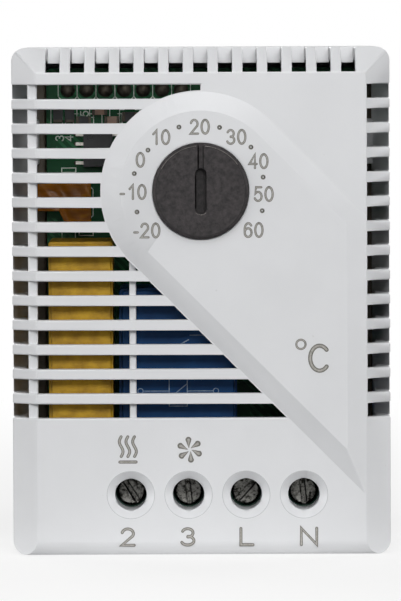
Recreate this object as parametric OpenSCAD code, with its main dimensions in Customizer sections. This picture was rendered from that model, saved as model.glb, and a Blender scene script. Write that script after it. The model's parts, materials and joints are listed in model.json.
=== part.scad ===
/* Electronic cabinet thermostat for a 35 mm rail.
   The front faces -Y, +Z is up, and the origin is the middle of the rail seat. */

/* [Housing] */
// Height of the feet above and below the rail
foot_h = 16; // [16:0.1:18]
// Thickness of the housing walls
wall = 2; // [1.6:0.1:2.2]
// Radius of the long corners
corner_r = 1.8; // [1.2:0.1:2.2]
// Depth of the front cover, from its face to the seam
cover_depth = 15.5; // [14.8:0.1:16.4]
// Chamfer along the left, right and top edges of the front face
chamfer = 3.25; // [2.6:0.05:3.5]
// Radius that rolls the front face into the bottom
roll_r = 2; // [1:0.1:2.6]

/* [Louvres] */
// Number of slots down each side
louvre_count = 14; // [8:1:14]
// Distance from one side slot to the next
louvre_pitch = 3.24; // [3:0.02:3.24]
// Height of a side slot
louvre_slot = 1.86; // [1.4:0.02:2]
// Distance from the top of the housing to the first side slot
louvre_drop = 4.87; // [4.6:0.01:5.4]
// Number of slots along the top
top_count = 13; // [5:1:13]
// Width of a top slot
top_slot = 1.88; // [1.4:0.02:2]
// Depth of the solid rim that ties the slotted walls together at the seam
rim = 1.7; // [1.2:0.1:2.4]
// Width of the upright rib behind the left louvres
edge_rib_w = 1.24; // [0.8:0.02:1.4]
// Width of the upright rib behind the lower louvres
mid_rib_w = 0.9; // [0.6:0.05:1.2]
// Distance of the lower rib to the left of the dial's centre
mid_rib_x = 9.05; // [8:0.05:10]
// First row, counted from the top, that the lower rib crosses
mid_rib_row = 8; // [8:1:10]

/* [Dial plate] */
// Distance from the top of the housing down to the dial's centre
dial_drop = 18.9; // [18.4:0.1:19.8]
// Radius of the raised plate round the dial
plate_r = 13.1; // [12.4:0.1:13.4]
// Width of the bevel round the plate
plate_bevel = 2.5; // [1.5:0.1:2.8]
// Height of the plate above the front face
plate_rise = 1.2; // [0.6:0.1:1.6]

/* [Dial] */
// Diameter of the dial
dial_d = 12.7; // [11:0.1:13]
// Gap round the dial
dial_gap = 0.15; // [0.1:0.05:0.3]
// Height of the dial above its plate
dial_proud = 0.8; // [0.4:0.1:1.4]
// Thickness of the dial's disc
dial_t = 4.4; // [3.6:0.1:4.8]
// Bevel round the dial's rim
dial_bevel = 0.35; // [0.2:0.05:0.6]
// Width of the screwdriver slot
driver_w = 1.48; // [1:0.02:1.8]
// Length of the screwdriver slot
driver_l = 6; // [5:0.1:7]
// Depth of the screwdriver slot
driver_d = 1.5; // [1:0.1:2]
// Width of the pointer groove
pointer_w = 0.77; // [0.5:0.01:1]
// Depth of the pointer groove
pointer_d = 0.45; // [0.3:0.05:0.8]
// Radius of the adjuster's shaft
shaft_r = 3; // [2.5:0.1:3]
// Running clearance round the shaft
shaft_play = 0.05; // [0.03:0.01:0.08]

/* [Terminals] */
// Number of wire terminals
pole_count = 4; // [2:1:4]
// Distance from one terminal to the next
pole_pitch = 7.62; // [7.62:0.01:7.8]
// Middle of the terminal row, to the right of the dial's centre
pole_shift = 2.03; // [1:0.01:2.2]
// Height of the screws above the bottom of the housing
pole_up = 8; // [7.8:0.1:8.6]
// Radius of a screwdriver well
well_r = 2.1; // [2:0.05:2.2]
// Radius of the rim of a screwdriver well
well_rim_r = 3.1; // [2.7:0.05:3.3]
// Depth of the sloping rim of a well
well_rim_d = 0.9; // [0.5:0.1:1.2]
// Wall of the tube behind a well
well_wall = 1.1; // [0.8:0.1:1.3]
// Height of the terminal block above the board
block_h = 11.6; // [11.5:0.1:12.4]
// Extent of the terminal block above its screws
block_up = 5.2; // [5:0.1:5.6]
// Radius of a wire entry
entry_r = 2; // [1.6:0.05:2.1]
// Radius of the mouth of a wire entry
entry_mouth_r = 2.6; // [2.3:0.05:2.8]
// Depth of the sloping mouth of a wire entry
entry_mouth_d = 1; // [0.6:0.1:1.4]
// Radius of a screw head
head_r = 1.88; // [1.7:0.02:1.94]
// Thickness of a screw head
head_t = 1.75; // [1.5:0.05:1.8]
// Width of the slot in a screw head
head_slot_w = 0.7; // [0.5:0.05:0.9]
// Depth of the slot in a screw head
head_slot_d = 0.9; // [0.6:0.05:1.1]
// Radius of a screw's thread
thread_r = 1.5; // [1.4:0.02:1.54]
// Travel of a clamp cage from open to shut
clamp_travel = 2.2; // [1.8:0.1:2.2]
// Room for a wire in an open clamp
wire_room = 2.4; // [2.3:0.05:2.5]

/* [Circuit board] */
// Width of the board, which sets the housing's width
board_w = 41.4; // [40:0.2:45]
// Gap between the board and the side walls
board_gap = 2.3; // [1.9:0.1:2.6]
// Gap between the board and the top and bottom walls
board_end_gap = 0.8; // [0.4:0.1:1.2]
// Thickness of the board
board_t = 1.6; // [1.4:0.1:2]
// Room between the tallest part and the front wall
front_room = 1.1; // [0.6:0.1:1.6]
// Room behind the board
back_room = 7.3; // [6:0.1:9]
// Relay width, across the housing
relay_w = 15.6; // [15:0.1:15.8]
// Relay height, up the housing
relay_h = 19; // [18:0.1:19.2]
// Relay thickness, off the board
relay_t = 15.3; // [14:0.1:15.6]
// Film capacitor width, across the housing
film_w = 8.5; // [8:0.1:8.7]
// Film capacitor length, up the housing
film_h = 26; // [24:0.5:26]
// Film capacitor thickness, off the board
film_t = 16.4; // [15.6:0.1:16.8]

/* [Rail] */
// Height of the rail
rail_h = 35; // [34.6:0.1:35.2]
// Thickness of the rail's edge
rail_t = 1; // [1:0.1:1.3]
// Depth of the feet behind the rail seat
foot_depth = 5.6; // [5.4:0.1:6.4]
// How far the hooks reach over the rail's edge
hook_reach = 0.9; // [0.7:0.05:1]
// Travel of the latch
latch_travel = 2.5; // [2.2:0.1:2.6]
// Width of the latch
latch_w = 15.6; // [14:0.1:16]
// Height of the seat pad
pad_rise = 0.4; // [0.3:0.05:0.5]

/* [Hidden] */

$fn = 48;
housing_c = [0.82, 0.825, 0.83];
base_c = [0.78, 0.785, 0.785];
dark_c = [0.16, 0.155, 0.155];
metal_c = [0.62, 0.62, 0.6];
board_c = [0.05, 0.2, 0.11];
block_c = [0.2, 0.42, 0.32];
relay_c = [0.06, 0.2, 0.4];
film_c = [0.72, 0.56, 0.14];
amber_c = [0.5, 0.28, 0.05];
ceramic_c = [0.45, 0.3, 0.2];

// Overrun of every cut
over = 1;
// Slack between pieces that only lie near each other
slack = 0.2;
// Play between pieces that bear on each other
play = 0.05;
// Radius of inside corners
inside_r = 0.5;
// How far the straight sides of the dial plate stay inside its round end's tangent
tangent_slack = 0.02;
// Flat land between the dial plate's foot and the slots that end on it
plate_land = 0.15;

body_w = board_w + 2 * (board_gap + wall);
body_h = rail_h + 2 * foot_h;
board_h = body_h - 2 * (board_end_gap + wall);
board_depth = wall + front_room + max(relay_t, film_t);
face_depth = board_depth + board_t + back_room + wall + pad_rise;
half_w = body_w / 2;
half_h = body_h / 2;
face_y = -face_depth;
seam_y = face_y + cover_depth;
plate_y = face_y - plate_rise;
dial_z = half_h - dial_drop;
pole_z = pole_up - half_h;
board_y = face_y + board_depth;
board_back = board_y + board_t;
board_r = 0.6;
floor_out = -pad_rise;
floor_in = floor_out - wall;
louvre_top = half_h - louvre_drop;
slot_back = seam_y - rim;
side_slot_x = half_w - chamfer + plate_land;
// Distance from the side chamfer to the middle of the outermost top slot
top_end = 2.25;
top_pitch = (body_w - 2 * chamfer - 2 * top_end) / (top_count - 1);

// Outline in X and Z, filled from y0 back to y1
module slab(y0, y1) {
    translate([0, y1, 0]) rotate([90, 0, 0]) linear_extrude(height = y1 - y0) children();
}

// Outline in Y and Z, filled from x0 to x1
module beam(x0, x1) {
    translate([x0, 0, 0]) rotate([90, 0, 90]) linear_extrude(height = x1 - x0) children();
}

// Box from its lowest corner to its highest
module block(low, high) {
    translate(low) cube(high - low);
}

// Round bar along Y
module rod(r, y0, y1) {
    translate([0, y1, 0]) rotate([90, 0, 0]) cylinder(r = r, h = y1 - y0);
}

// Cone along Y, with radius r0 at y0 and r1 at y1
module taper(r0, r1, y0, y1) {
    translate([0, y0, 0]) rotate([-90, 0, 0]) cylinder(r1 = r0, r2 = r1, h = y1 - y0);
}

// Rectangle with round corners, centred
module round_rect(w, h, r) {
    square([w - 2 * r, h], center = true);
    square([w, h - 2 * r], center = true);
    for (sx = [-1, 1], sz = [-1, 1])
        translate([sx * (w / 2 - r), sz * (h / 2 - r)]) circle(r = r);
}

// Screw places along the terminal row
function pole_x(i) = pole_shift + (i - (pole_count - 1) / 2) * pole_pitch;

/* Front cover: a chamfered tray with louvres, a raised dial plate and four wells */

// Share of the wall by which a 45 degree chamfer is narrower on the inside
mitre_share = 0.586;

// Depth profile across the width, with both side chamfers
module width_profile(inset, back) {
    w = half_w - inset;
    f = face_y + inset;
    c = chamfer - inset * mitre_share;
    polygon([[-w, back], [-w, f + c], [-w + c, f], [w - c, f], [w, f + c], [w, back]]);
}

// Depth profile up the height, with the top chamfer and the rolled bottom edge
module height_profile(inset, back) {
    h = half_h - inset;
    f = face_y + inset;
    c = chamfer - inset * mitre_share;
    r = inset > 0 ? inside_r : roll_r;
    polygon([[back, h], [f + c, h], [f, h - c], [f, -h + r], [f + r, -h], [back, -h]]);
    translate([f + r, -h + r]) circle(r = r);
}

// Solid of the cover's outside, or of its hollow when inset is the wall
module cover_form(inset, back) {
    r = inset > 0 ? inside_r : corner_r;
    intersection() {
        slab(face_y - over, back) round_rect(body_w - 2 * inset, body_h - 2 * inset, r);
        translate([0, 0, -body_h]) linear_extrude(height = 2 * body_h) width_profile(inset, back + over);
        beam(-body_w, body_w) height_profile(inset, back + over);
    }
}

// Corners of the dial plate's straight part: two 45 degree sides that leave the circle, and the right side
function plate_points(r, x_right) = let (t = r / sqrt(2))
    [[t, dial_z + t], [x_right, dial_z + 2 * t - x_right],
        [x_right, dial_z - 2 * t - x_right], [-t, dial_z - t]];

function at_depth(points, y) = [for (p = points) [p[0], y, p[1]]];

// Four-sided loft from the plate's foot to its flat top
module plate_sides() {
    foot = plate_points(plate_r - tangent_slack, half_w - chamfer);
    top = plate_points(plate_r - plate_bevel - tangent_slack, half_w - chamfer - plate_bevel);
    polyhedron(
        points = concat(at_depth(foot, face_y + wall / 2), at_depth(foot, face_y), at_depth(top, plate_y)),
        faces = [[3, 2, 1, 0], [8, 9, 10, 11],
            [1, 5, 4, 0], [2, 6, 5, 1], [3, 7, 6, 2], [0, 4, 7, 3],
            [5, 9, 8, 4], [6, 10, 9, 5], [7, 11, 10, 6], [4, 8, 11, 7]]);
}

module dial_plate() {
    translate([0, 0, dial_z]) {
        taper(plate_r - plate_bevel, plate_r, plate_y, face_y);
        rod(plate_r, face_y, face_y + wall / 2);
    }
    plate_sides();
}

// Keeps the louvres out of the dial plate
module plate_guard() {
    slab(face_y - over, seam_y + over) {
        translate([0, dial_z]) circle(r = plate_r + plate_land);
        polygon(plate_points(plate_r + plate_land - tangent_slack, half_w));
    }
}

function louvre_z(k) = louvre_top - k * louvre_pitch;

// Right end of a left-hand slot, somewhere inside the dial plate
function louvre_end(k) = max(0, dial_z - plate_r * sqrt(2) - louvre_z(k) + louvre_slot + plate_bevel);

module left_louvres() {
    difference() {
        for (k = [0 : louvre_count - 1])
            block([-half_w - over, face_y - over, louvre_z(k) - louvre_slot],
                [louvre_end(k), slot_back, louvre_z(k)]);
        plate_guard();
    }
}

module right_louvres() {
    for (k = [0 : louvre_count - 1])
        block([side_slot_x, face_y - over, louvre_z(k) - louvre_slot],
            [half_w + over, slot_back, louvre_z(k)]);
}

module top_louvres() {
    for (k = [0 : top_count - 1])
        translate([(k - (top_count - 1) / 2) * top_pitch, 0, 0])
            block([-top_slot / 2, face_y - over, half_h - chamfer], [top_slot / 2, slot_back, half_h + over]);
}

// Upright rib behind the louvres, from the top of one row to the foot of another
module louvre_rib(x0, x1, row_a, row_b) {
    block([x0, face_y + 0.65 * wall, louvre_z(row_b) - louvre_slot - inside_r],
        [x1, face_y + wall + 0.9 * front_room, louvre_z(row_a) + inside_r]);
}

dial_hole_r = dial_d / 2 + dial_gap;
collar_wall = 1;
collar_l = 2.6;
tongue_w = 6;
tongue_t = 1.2;
tongue_l = 5;
barb = 0.5;
barb_l = 1.6;
tongue_gap = 2.5;

// The four tongues stand as far from the middle as the upper ones need to clear the sensor's strip
function tongue_z() = tape_top + tongue_gap + tongue_w / 2;

module snap_tongue(side, z) {
    translate([0, 0, z - tongue_w / 2]) linear_extrude(height = tongue_w)
        polygon([for (p = [[half_w - wall / 2, slot_back], [half_w - wall / 2, seam_y],
            [half_w - wall - slack / 2, seam_y],
            [half_w - wall - slack / 2, seam_y + tongue_l - barb_l],
            [half_w - wall - slack / 2 + barb, seam_y + tongue_l - barb_l],
            [half_w - wall - slack / 2, seam_y + tongue_l],
            [half_w - wall - slack / 2 - tongue_t, seam_y + tongue_l],
            [half_w - wall - slack / 2 - tongue_t, slot_back]]) [side * p[0], p[1]]]);
}

// Terminal stack, from the block's front back to the board
block_front = board_y - block_h;
head_sink = 0.7;
head_front = block_front + head_sink;
head_back = head_front + head_t;
seat_t = 0.6;
seat_front = head_back + play;
seat_back = seat_front + seat_t;
cage_front = seat_back + play + clamp_travel;
nut_t = 1.2;
nut_back = cage_front + nut_t;
bar_front = nut_back + play;
bar_t = 0.8;
bar_back = bar_front + bar_t;
cage_wall = 0.8;
cage_floor = bar_back + wire_room;
cage_back = cage_floor + cage_wall;
cage_w = 5.8;
cage_h = 5.2;
bar_w = 3.6;
chamber_w = cage_w + 2 * slack;
chamber_h = cage_h + 4 * slack;
block_low = -half_h + slack / 2;
block_x0 = pole_x(0) - pole_pitch / 2;
block_x1 = pole_x(pole_count - 1) + pole_pitch / 2;
entry_y = (bar_back + cage_floor) / 2;

module well_tube() {
    rod(well_r + well_wall, face_y + wall / 2, block_front - slack);
}

module screw_well() {
    rod(well_r, face_y - over, block_front);
    taper(well_rim_r, well_r, face_y, face_y + well_rim_d);
    rod(well_rim_r, face_y - over, face_y);
}

// Window in the bottom wall that the terminal block looks out of
module wire_window(y0, y1) {
    block([block_x0 - slack, y0, -half_h - over], [block_x1 + slack, y1, -half_h + wall + over]);
}

module front_cover() {
    color(housing_c)
    difference() {
        union() {
            difference() {
                union() {
                    cover_form(0, seam_y);
                    dial_plate();
                }
                cover_form(wall, seam_y + over);
                left_louvres();
                right_louvres();
                top_louvres();
            }
            louvre_rib(2 * plate_land - side_slot_x - edge_rib_w, 2 * plate_land - side_slot_x,
                0, louvre_count - 1);
            louvre_rib(-mid_rib_x - mid_rib_w / 2, -mid_rib_x + mid_rib_w / 2,
                mid_rib_row - 1, louvre_count - 1);
            for (i = [0 : pole_count - 1])
                translate([pole_x(i), 0, pole_z]) well_tube();
            translate([0, 0, dial_z])
                rod(dial_hole_r + collar_wall, face_y + wall / 2, face_y + wall + collar_l);
            for (side = [-1, 1], up = [-1, 1]) snap_tongue(side, up * tongue_z());
        }
        for (i = [0 : pole_count - 1])
            translate([pole_x(i), 0, pole_z]) screw_well();
        translate([0, 0, dial_z]) rod(dial_hole_r, plate_y - over, face_y + wall + collar_l + over);
        wire_window(block_front - slack, seam_y + over);
    }
}

/* Rear base: a tray with the board's posts inside, and the rail seat, hooks and latch way behind */

foot_top = rail_h / 2 + slack;
foot_low = -rail_h / 2 - hook_reach;
hook_w = 9;
hook_x = 15;
hook_t = 1.8;
lip_y = rail_t + slack;
pad_h = rail_h - 4 * hook_reach - slack;
pad_w_share = 0.8;
post_r = 2;
post_in = 3;
post_drop = 7.5;
pocket_wall = 1.6;
latch_t = 1.7;
channel_floor = lip_y - 2 * slack;
channel_lip = channel_floor + latch_t + 2 * slack;
channel_w = latch_w + 2 * slack;
flange_w = 2.5;
neck_w = latch_w - 2 * flange_w;
neck_gap_w = neck_w + 2 * slack;
latch_foot = -half_h + slack;
latch_shoulder = foot_low - 3 * slack;
window_drop = 2.6;
window_h = foot_h / 2;
window_top = foot_low - window_drop;
window_foot = window_top - window_h;
window_w = 4.6;
spring_post_h = 1.8;
spring_post_w = window_w - 4 * slack;
spring_r = 1.4;
spring_wire = 0.25;
spring_turns = 6;
spring_y = channel_floor + play + latch_t;
spring_foot = window_foot + slack + spring_post_h;

// Hollow left by the moulding in a foot, between x0 and x1
module foot_pocket(x0, x1, z0, z1) {
    block([x0, floor_out + wall, z0], [x1, foot_depth + over, z1]);
}

module rail_hook(x) {
    translate([x - hook_w / 2, 0, 0]) rotate([90, 0, 90]) linear_extrude(height = hook_w)
        polygon([[lip_y, foot_top + wall], [lip_y, rail_h / 2 - hook_reach],
            [lip_y + hook_t / 2, rail_h / 2 - hook_reach], [lip_y + hook_t + hook_reach, foot_top],
            [lip_y + hook_t + hook_reach, foot_top + wall]]);
}

module board_posts(r, y0, y1) {
    for (sx = [-1, 1], sz = [-1, 1])
        translate([sx * (board_w / 2 - post_in), 0, sz * (board_h / 2 - post_drop)]) rod(r, y0, y1);
}

module latch_way() {
    block([-channel_w / 2, channel_floor, -half_h - over], [channel_w / 2, channel_lip, foot_low + over]);
    block([-neck_gap_w / 2, channel_floor, -half_h - over],
        [neck_gap_w / 2, foot_depth + over, foot_low + over]);
}

module base_feet() {
    intersection() {
        slab(floor_out - over, foot_depth) round_rect(body_w, body_h, corner_r);
        union() {
            block([-half_w, floor_out - wall / 2, foot_top], [half_w, foot_depth, half_h]);
            block([-half_w, floor_out - wall / 2, -half_h], [half_w, foot_depth, foot_low]);
        }
    }
}

module base_pocket_pair(side) {
    x_in = channel_w / 2 + pocket_wall;
    x_out = half_w - pocket_wall;
    foot_pocket(side > 0 ? x_in : -x_out, side > 0 ? x_out : -x_in, -half_h + pocket_wall, foot_low - wall);
}

module upper_pockets() {
    span = (body_w - 4 * pocket_wall) / 3;
    for (k = [0 : 2])
        foot_pocket(-half_w + pocket_wall + k * (span + pocket_wall),
            -half_w + (k + 1) * (span + pocket_wall), foot_top + wall, half_h - pocket_wall);
}

// Catch recess for a snap tongue's barb, from inside the wall
module catch_recess(side, z) {
    x_in = half_w - wall - over / 2;
    x_out = half_w - wall + barb + slack / 2;
    y0 = seam_y + tongue_l - barb_l - slack;
    block([side > 0 ? x_in : -x_out, y0, z - tongue_w / 2 - slack],
        [side > 0 ? x_out : -x_in, y0 + barb_l + 2 * slack, z + tongue_w / 2 + slack]);
}

module rear_base() {
    color(base_c)
    difference() {
        union() {
            difference() {
                slab(seam_y, floor_out) round_rect(body_w, body_h, corner_r);
                slab(seam_y - over, floor_in) round_rect(body_w - 2 * wall, body_h - 2 * wall, inside_r);
            }
            difference() {
                base_feet();
                upper_pockets();
                base_pocket_pair(-1);
                base_pocket_pair(1);
                latch_way();
            }
            for (x = [-hook_x, hook_x]) rail_hook(x);
            slab(floor_out - wall / 2, 0) square([pad_w_share * body_w, pad_h], center = true);
            board_posts(post_r, board_back, floor_in + wall / 2);
            block([-spring_post_w / 2, channel_floor - wall / 2, window_foot + slack],
                [spring_post_w / 2, spring_y + spring_r + spring_wire, spring_foot]);
        }
        wire_window(seam_y - over, board_y + slack);
        for (side = [-1, 1], up = [-1, 1]) catch_recess(side, up * tongue_z());
    }
}

/* Rail latch and its spring */

nose_w = neck_w;
pull_w = 6;
pull_h = 1.4;
pull_wall = 1.2;

module rail_latch() {
    latch_front = channel_floor + slack;
    latch_back = latch_front + latch_t;
    neck_back = foot_depth - slack;
    color(base_c)
    difference() {
        union() {
            block([-latch_w / 2, latch_front, latch_foot], [latch_w / 2, latch_back, latch_shoulder]);
            block([-neck_w / 2, latch_front, latch_foot], [neck_w / 2, neck_back, latch_shoulder]);
            beam(-nose_w / 2, nose_w / 2)
                polygon([[lip_y, latch_shoulder - wall], [lip_y, -rail_h / 2 + hook_reach],
                    [lip_y + hook_t / 3, -rail_h / 2 + hook_reach],
                    [neck_back - slack, latch_shoulder], [neck_back - slack, latch_shoulder - wall]]);
        }
        block([-window_w / 2, latch_front - over, window_foot],
            [window_w / 2, foot_depth + over, window_top]);
        block([-pull_w / 2, latch_back, latch_foot + pull_wall],
            [pull_w / 2, foot_depth + over, latch_foot + pull_wall + pull_h]);
    }
}

coil_rings = 8;
coil_sides = 6;
spring_top = window_top - play;
spring_low = spring_foot + play;

// Centre line of the spring at turn t, with both ends ground flat on a closed turn
function coil_rise(t) = let (u = t / spring_turns, closed = 2 * spring_wire,
        free = spring_top - spring_low - 2 * closed - 2 * spring_wire)
    t < 1 ? closed * t
    : t > spring_turns - 1 ? closed + free + closed * (t - spring_turns + 1)
    : closed + free * (t - 1) / (spring_turns - 2);

function coil_ring(k) = let (t = k / coil_rings, a = 360 * t)
    [for (j = [0 : coil_sides - 1]) let (b = 360 * j / coil_sides, r = spring_r + spring_wire * cos(b))
        [r * cos(a), r * sin(a), spring_low + spring_wire + coil_rise(t) + spring_wire * sin(b)]];

module latch_spring() {
    last = coil_rings * spring_turns;
    n = coil_sides;
    color(metal_c) translate([0, spring_y, 0])
        polyhedron(
            points = [for (k = [0 : last]) each coil_ring(k)],
            faces = concat(
                [for (k = [0 : last - 1], j = [0 : n - 1]) [k * n + j, k * n + n + j, k * n + (j + 1) % n]],
                [for (k = [0 : last - 1], j = [0 : n - 1])
                    [k * n + (j + 1) % n, k * n + n + j, k * n + n + (j + 1) % n]],
                [for (j = [1 : n - 2]) [0, j, j + 1]],
                [for (j = [1 : n - 2]) [last * n, last * n + j + 1, last * n + j]]));
}

/* Dial and adjuster */

dial_front = plate_y - dial_proud;
dial_back = dial_front + dial_t;
hub_r = 4.4;
hub_l = 3;
hub_back = dial_back + hub_l;
shaft_flat = 0.5;
pot_w = 11;
pot_h = 12;
pot_t = 6;
pot_front = board_y - pot_t;
bush_r = 4;
bush_l = 2.4;
pot_pin_r = 0.4;
pot_pin_gap = 2.54;

module shaft_outline(r) {
    intersection() {
        circle(r = r);
        translate([-r, -r]) square([2 * r, 2 * r - shaft_flat]);
    }
}

module dial() {
    r = dial_d / 2;
    color(dark_c)
    translate([0, 0, dial_z])
    difference() {
        union() {
            taper(r - dial_bevel, r, dial_front, dial_front + dial_bevel);
            rod(r, dial_front + dial_bevel, dial_back);
            rod(hub_r, dial_back - over, hub_back);
        }
        slab(dial_front - over, dial_front + driver_d)
            union() {
                square([driver_w, driver_l - driver_w], center = true);
                for (s = [-1, 1]) translate([0, s * (driver_l - driver_w) / 2]) circle(r = driver_w / 2);
            }
        block([-pointer_w / 2, dial_front - over, 0], [pointer_w / 2, dial_front + pointer_d, r + over]);
        slab(dial_back - dial_t / 4, hub_back + over) shaft_outline(shaft_r + shaft_play);
    }
}

module adjuster_shaft() {
    color(housing_c) translate([0, 0, dial_z]) {
        slab(dial_back - dial_t / 4 + play, hub_back) shaft_outline(shaft_r);
        rod(shaft_r, hub_back, board_y - pot_t / 4);
    }
}

module potentiometer() {
    color(dark_c) translate([0, 0, dial_z]) difference() {
        union() {
            slab(pot_front, board_y) round_rect(pot_w, pot_h, inside_r);
            rod(bush_r, pot_front - bush_l, pot_front + over);
        }
        rod(shaft_r + shaft_play, pot_front - bush_l - over, board_y - pot_t / 4 + play);
    }
}

function pot_pin_places() = [for (k = [-1 : 1]) [k * pot_pin_gap, dial_z - pot_h / 2 + pot_pin_gap / 2]];

/* Circuit board and what stands on it */

pin_out = 1.4;
pin_r = 0.4;
pin_hole_r = 0.5;
leg_w = 1.2;
bar_top = pole_z + block_up - 2 * bar_t;
leg_hole_r = 0.85;
block_top = pole_z + block_up;
board_top = board_h / 2;
film_in = 0.5;
film_gap = 2.2;
film_lead_in = 1.75;
film_x = -board_w / 2 + film_in + film_w / 2;
film_top = block_top + film_gap + film_h;
film_z = film_top - film_h / 2;
film_lead_gap = film_h - 2 * film_lead_in;
relay_in = 0.8;
relay_gap = 3;
relay_base_t = 1.2;
relay_x = film_x + film_w / 2 + relay_in + relay_w / 2;
relay_z = block_top + relay_gap + relay_h / 2;
small_r = 0.35;
connector_count = 7;
connector_pitch = 2.54;
connector_in = 2.85;
connector_share = 0.873;
connector_x = -board_w / 2 + connector_in;
connector_z = film_top + connector_share * (board_top - film_top);
connector_t = 2.5;
solder_r = 1;
solder_t = 0.55;
chip_w = 3.9;
chip_h = 4.9;
chip_t = 1.5;
chip_in = 6.9;
chip_share = 0.526;
chip_x = -board_w / 2 + chip_in;
chip_z = film_top + chip_share * (board_top - film_top);
chip_pitch = 1.27;
chip_lead_w = 0.42;
chip_lead_t = 0.2;
chip_lead_out = 1.05;
// The right-hand column of parts: gap to the board's edge, and heights as shares of the way from the
// terminal block to the board's top
column_in = 0.6;
smoother_share = 0.36;
rectifier_share = 0.54;
varistor_share = 0.135;
transistor_share = 0.79;
smoother_r = 3.15;
smoother_l = 11.5;
smoother_x = board_w / 2 - column_in - smoother_r;
smoother_z = block_top + smoother_share * (board_top - block_top);
rectifier_w = 6.4;
rectifier_x = board_w / 2 - column_in - rectifier_w / 2;
rectifier_z = block_top + rectifier_share * (board_top - block_top);
rectifier_h = 8.4;
rectifier_t = 3.2;
rectifier_gap = 5.1;
varistor_r = 3.8;
varistor_t = 4;
varistor_x = board_w / 2 - column_in - varistor_t / 2;
varistor_z = block_top + varistor_share * (board_top - block_top);
varistor_gap = 5;
varistor_mid = board_y - varistor_r - small_r;
transistor_r = 2.3;
transistor_l = 4.6;
transistor_x = board_w / 2 - column_in - 2 * transistor_r;
transistor_z = block_top + transistor_share * (board_top - block_top);
transistor_gap = 1.27;

function pair(x, z, gap) = [[x, z - gap / 2], [x, z + gap / 2]];

relay_pin_shares = [[-0.38, 0.4], [0.38, 0.4], [0, 0.4], [-0.38, -0.4], [0.38, -0.4]];
function relay_pin_places() =
    [for (p = relay_pin_shares) [relay_x + p[0] * relay_w, relay_z + p[1] * relay_h]];
function connector_places() =
    [for (k = [0 : connector_count - 1]) [connector_x + k * connector_pitch, connector_z]];
function transistor_places() = [for (k = [-1 : 1]) [transistor_x + k * transistor_gap, transistor_z]];
function rectifier_places() =
    [for (sx = [-1, 1]) each pair(rectifier_x + sx * rectifier_w / 3, rectifier_z, rectifier_gap)];
function leg_places() = [for (i = [0 : pole_count - 1]) [pole_x(i), bar_top - bar_t / 2]];

tape_l = 8.1;
tape_h = 6.3;
tape_foot_l = 3;
tape_foot_h = 2.6;
tape_share = 0.048;
tape_t = 0.2;
tape_x0 = -half_w + wall + slack;
tape_low = film_top + tape_share * (board_top - film_top);
tape_top = tape_low + tape_h;
sensor_in = 1.5;
sensor_drop = 2;
sensor_x = tape_x0 + tape_l - sensor_in;
sensor_z = tape_top - sensor_drop;
sensor_gap = 1.3;
sensor_wire_r = 0.25;
sensor_rise = 2.6;
bead_r = 1.2;
bead_end = half_w - wall - slack - bead_r / 2;

function board_hole_places() = concat(pot_pin_places(), relay_pin_places(),
    pair(film_x, film_z, film_lead_gap), connector_places(),
    pair(smoother_x, smoother_z, smoother_r), rectifier_places(), pair(varistor_x, varistor_z, varistor_gap),
    transistor_places(), pair(sensor_x, sensor_z, sensor_gap));

// Pins through the board at a list of places, from a depth in front of it to the ends behind it
module board_pins(places, r, y0) {
    for (p = places) translate([p[0], 0, p[1]]) rod(r, y0, board_back + pin_out);
}

module circuit_board() {
    color(board_c) difference() {
        slab(board_y, board_back) round_rect(board_w, board_h, board_r);
        for (p = board_hole_places())
            translate([p[0], 0, p[1]]) rod(pin_hole_r, board_y - over, board_back + over);
        for (p = leg_places())
            translate([p[0], 0, p[1]]) rod(leg_hole_r, board_y - over, board_back + over);
    }
}

module potentiometer_pins() {
    color(metal_c) board_pins(pot_pin_places(), pot_pin_r, board_y);
}

/* Terminals */

module terminal_block() {
    color(block_c)
    difference() {
        block([block_x0, block_front, block_low], [block_x1, board_y, pole_z + block_up]);
        for (i = [0 : pole_count - 1])
            translate([pole_x(i), 0, pole_z]) {
                rod(head_r + slack / 2, block_front - over, seat_front);
                rod(thread_r + slack, seat_front - over, seat_back + over);
                block([-chamber_w / 2, seat_back, -chamber_h / 2],
                    [chamber_w / 2, cage_back + play, chamber_h / 2]);
                block([-bar_w / 2 - play, bar_front - play, chamber_h / 2 - over],
                    [bar_w / 2 + play, board_y + over, bar_top - pole_z + play]);
                translate([0, entry_y, block_low - pole_z - over])
                    cylinder(r = entry_r, h = over - block_low + pole_z - chamber_h / 2 + over);
                translate([0, entry_y, block_low - pole_z])
                    cylinder(r1 = entry_mouth_r, r2 = entry_r, h = entry_mouth_d);
            }
    }
}

// Angle of each screw's slot as the photograph's terminals stand, clockwise from upright
screw_turns = [-32, -6, 42, -6];

module terminal_screw(i) {
    color(metal_c)
    translate([pole_x(i), 0, pole_z])
    difference() {
        union() {
            taper(head_r - head_slot_d / 4, head_r, head_front, head_front + head_slot_d / 4);
            rod(head_r, head_front + head_slot_d / 4, head_back);
            rod(thread_r, head_back - over, nut_back);
        }
        rotate([0, screw_turns[i], 0])
            block([-head_slot_w / 2, head_front - over, -head_r - over],
                [head_slot_w / 2, head_front + head_slot_d, head_r + over]);
    }
}

module clamp_cage(i) {
    color(metal_c)
    translate([pole_x(i), 0, pole_z])
    difference() {
        block([-cage_w / 2, cage_front, -cage_h / 2], [cage_w / 2, cage_back, cage_h / 2]);
        block([-cage_w / 2 + cage_wall, nut_back, -cage_h / 2 - over],
            [cage_w / 2 - cage_wall, cage_floor, cage_h / 2 + over]);
        rod(thread_r + play / 2, cage_front - over, nut_back + over);
    }
}

module contact_bars() {
    color(metal_c)
    for (i = [0 : pole_count - 1])
        translate([pole_x(i), 0, 0]) {
            block([-bar_w / 2, bar_front, pole_z - chamber_h / 2 + play], [bar_w / 2, bar_back, bar_top]);
            block([-leg_w / 2, bar_front, bar_top - bar_t], [leg_w / 2, board_back + pin_out, bar_top]);
        }
}

/* Relay, capacitors and small parts */

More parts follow.
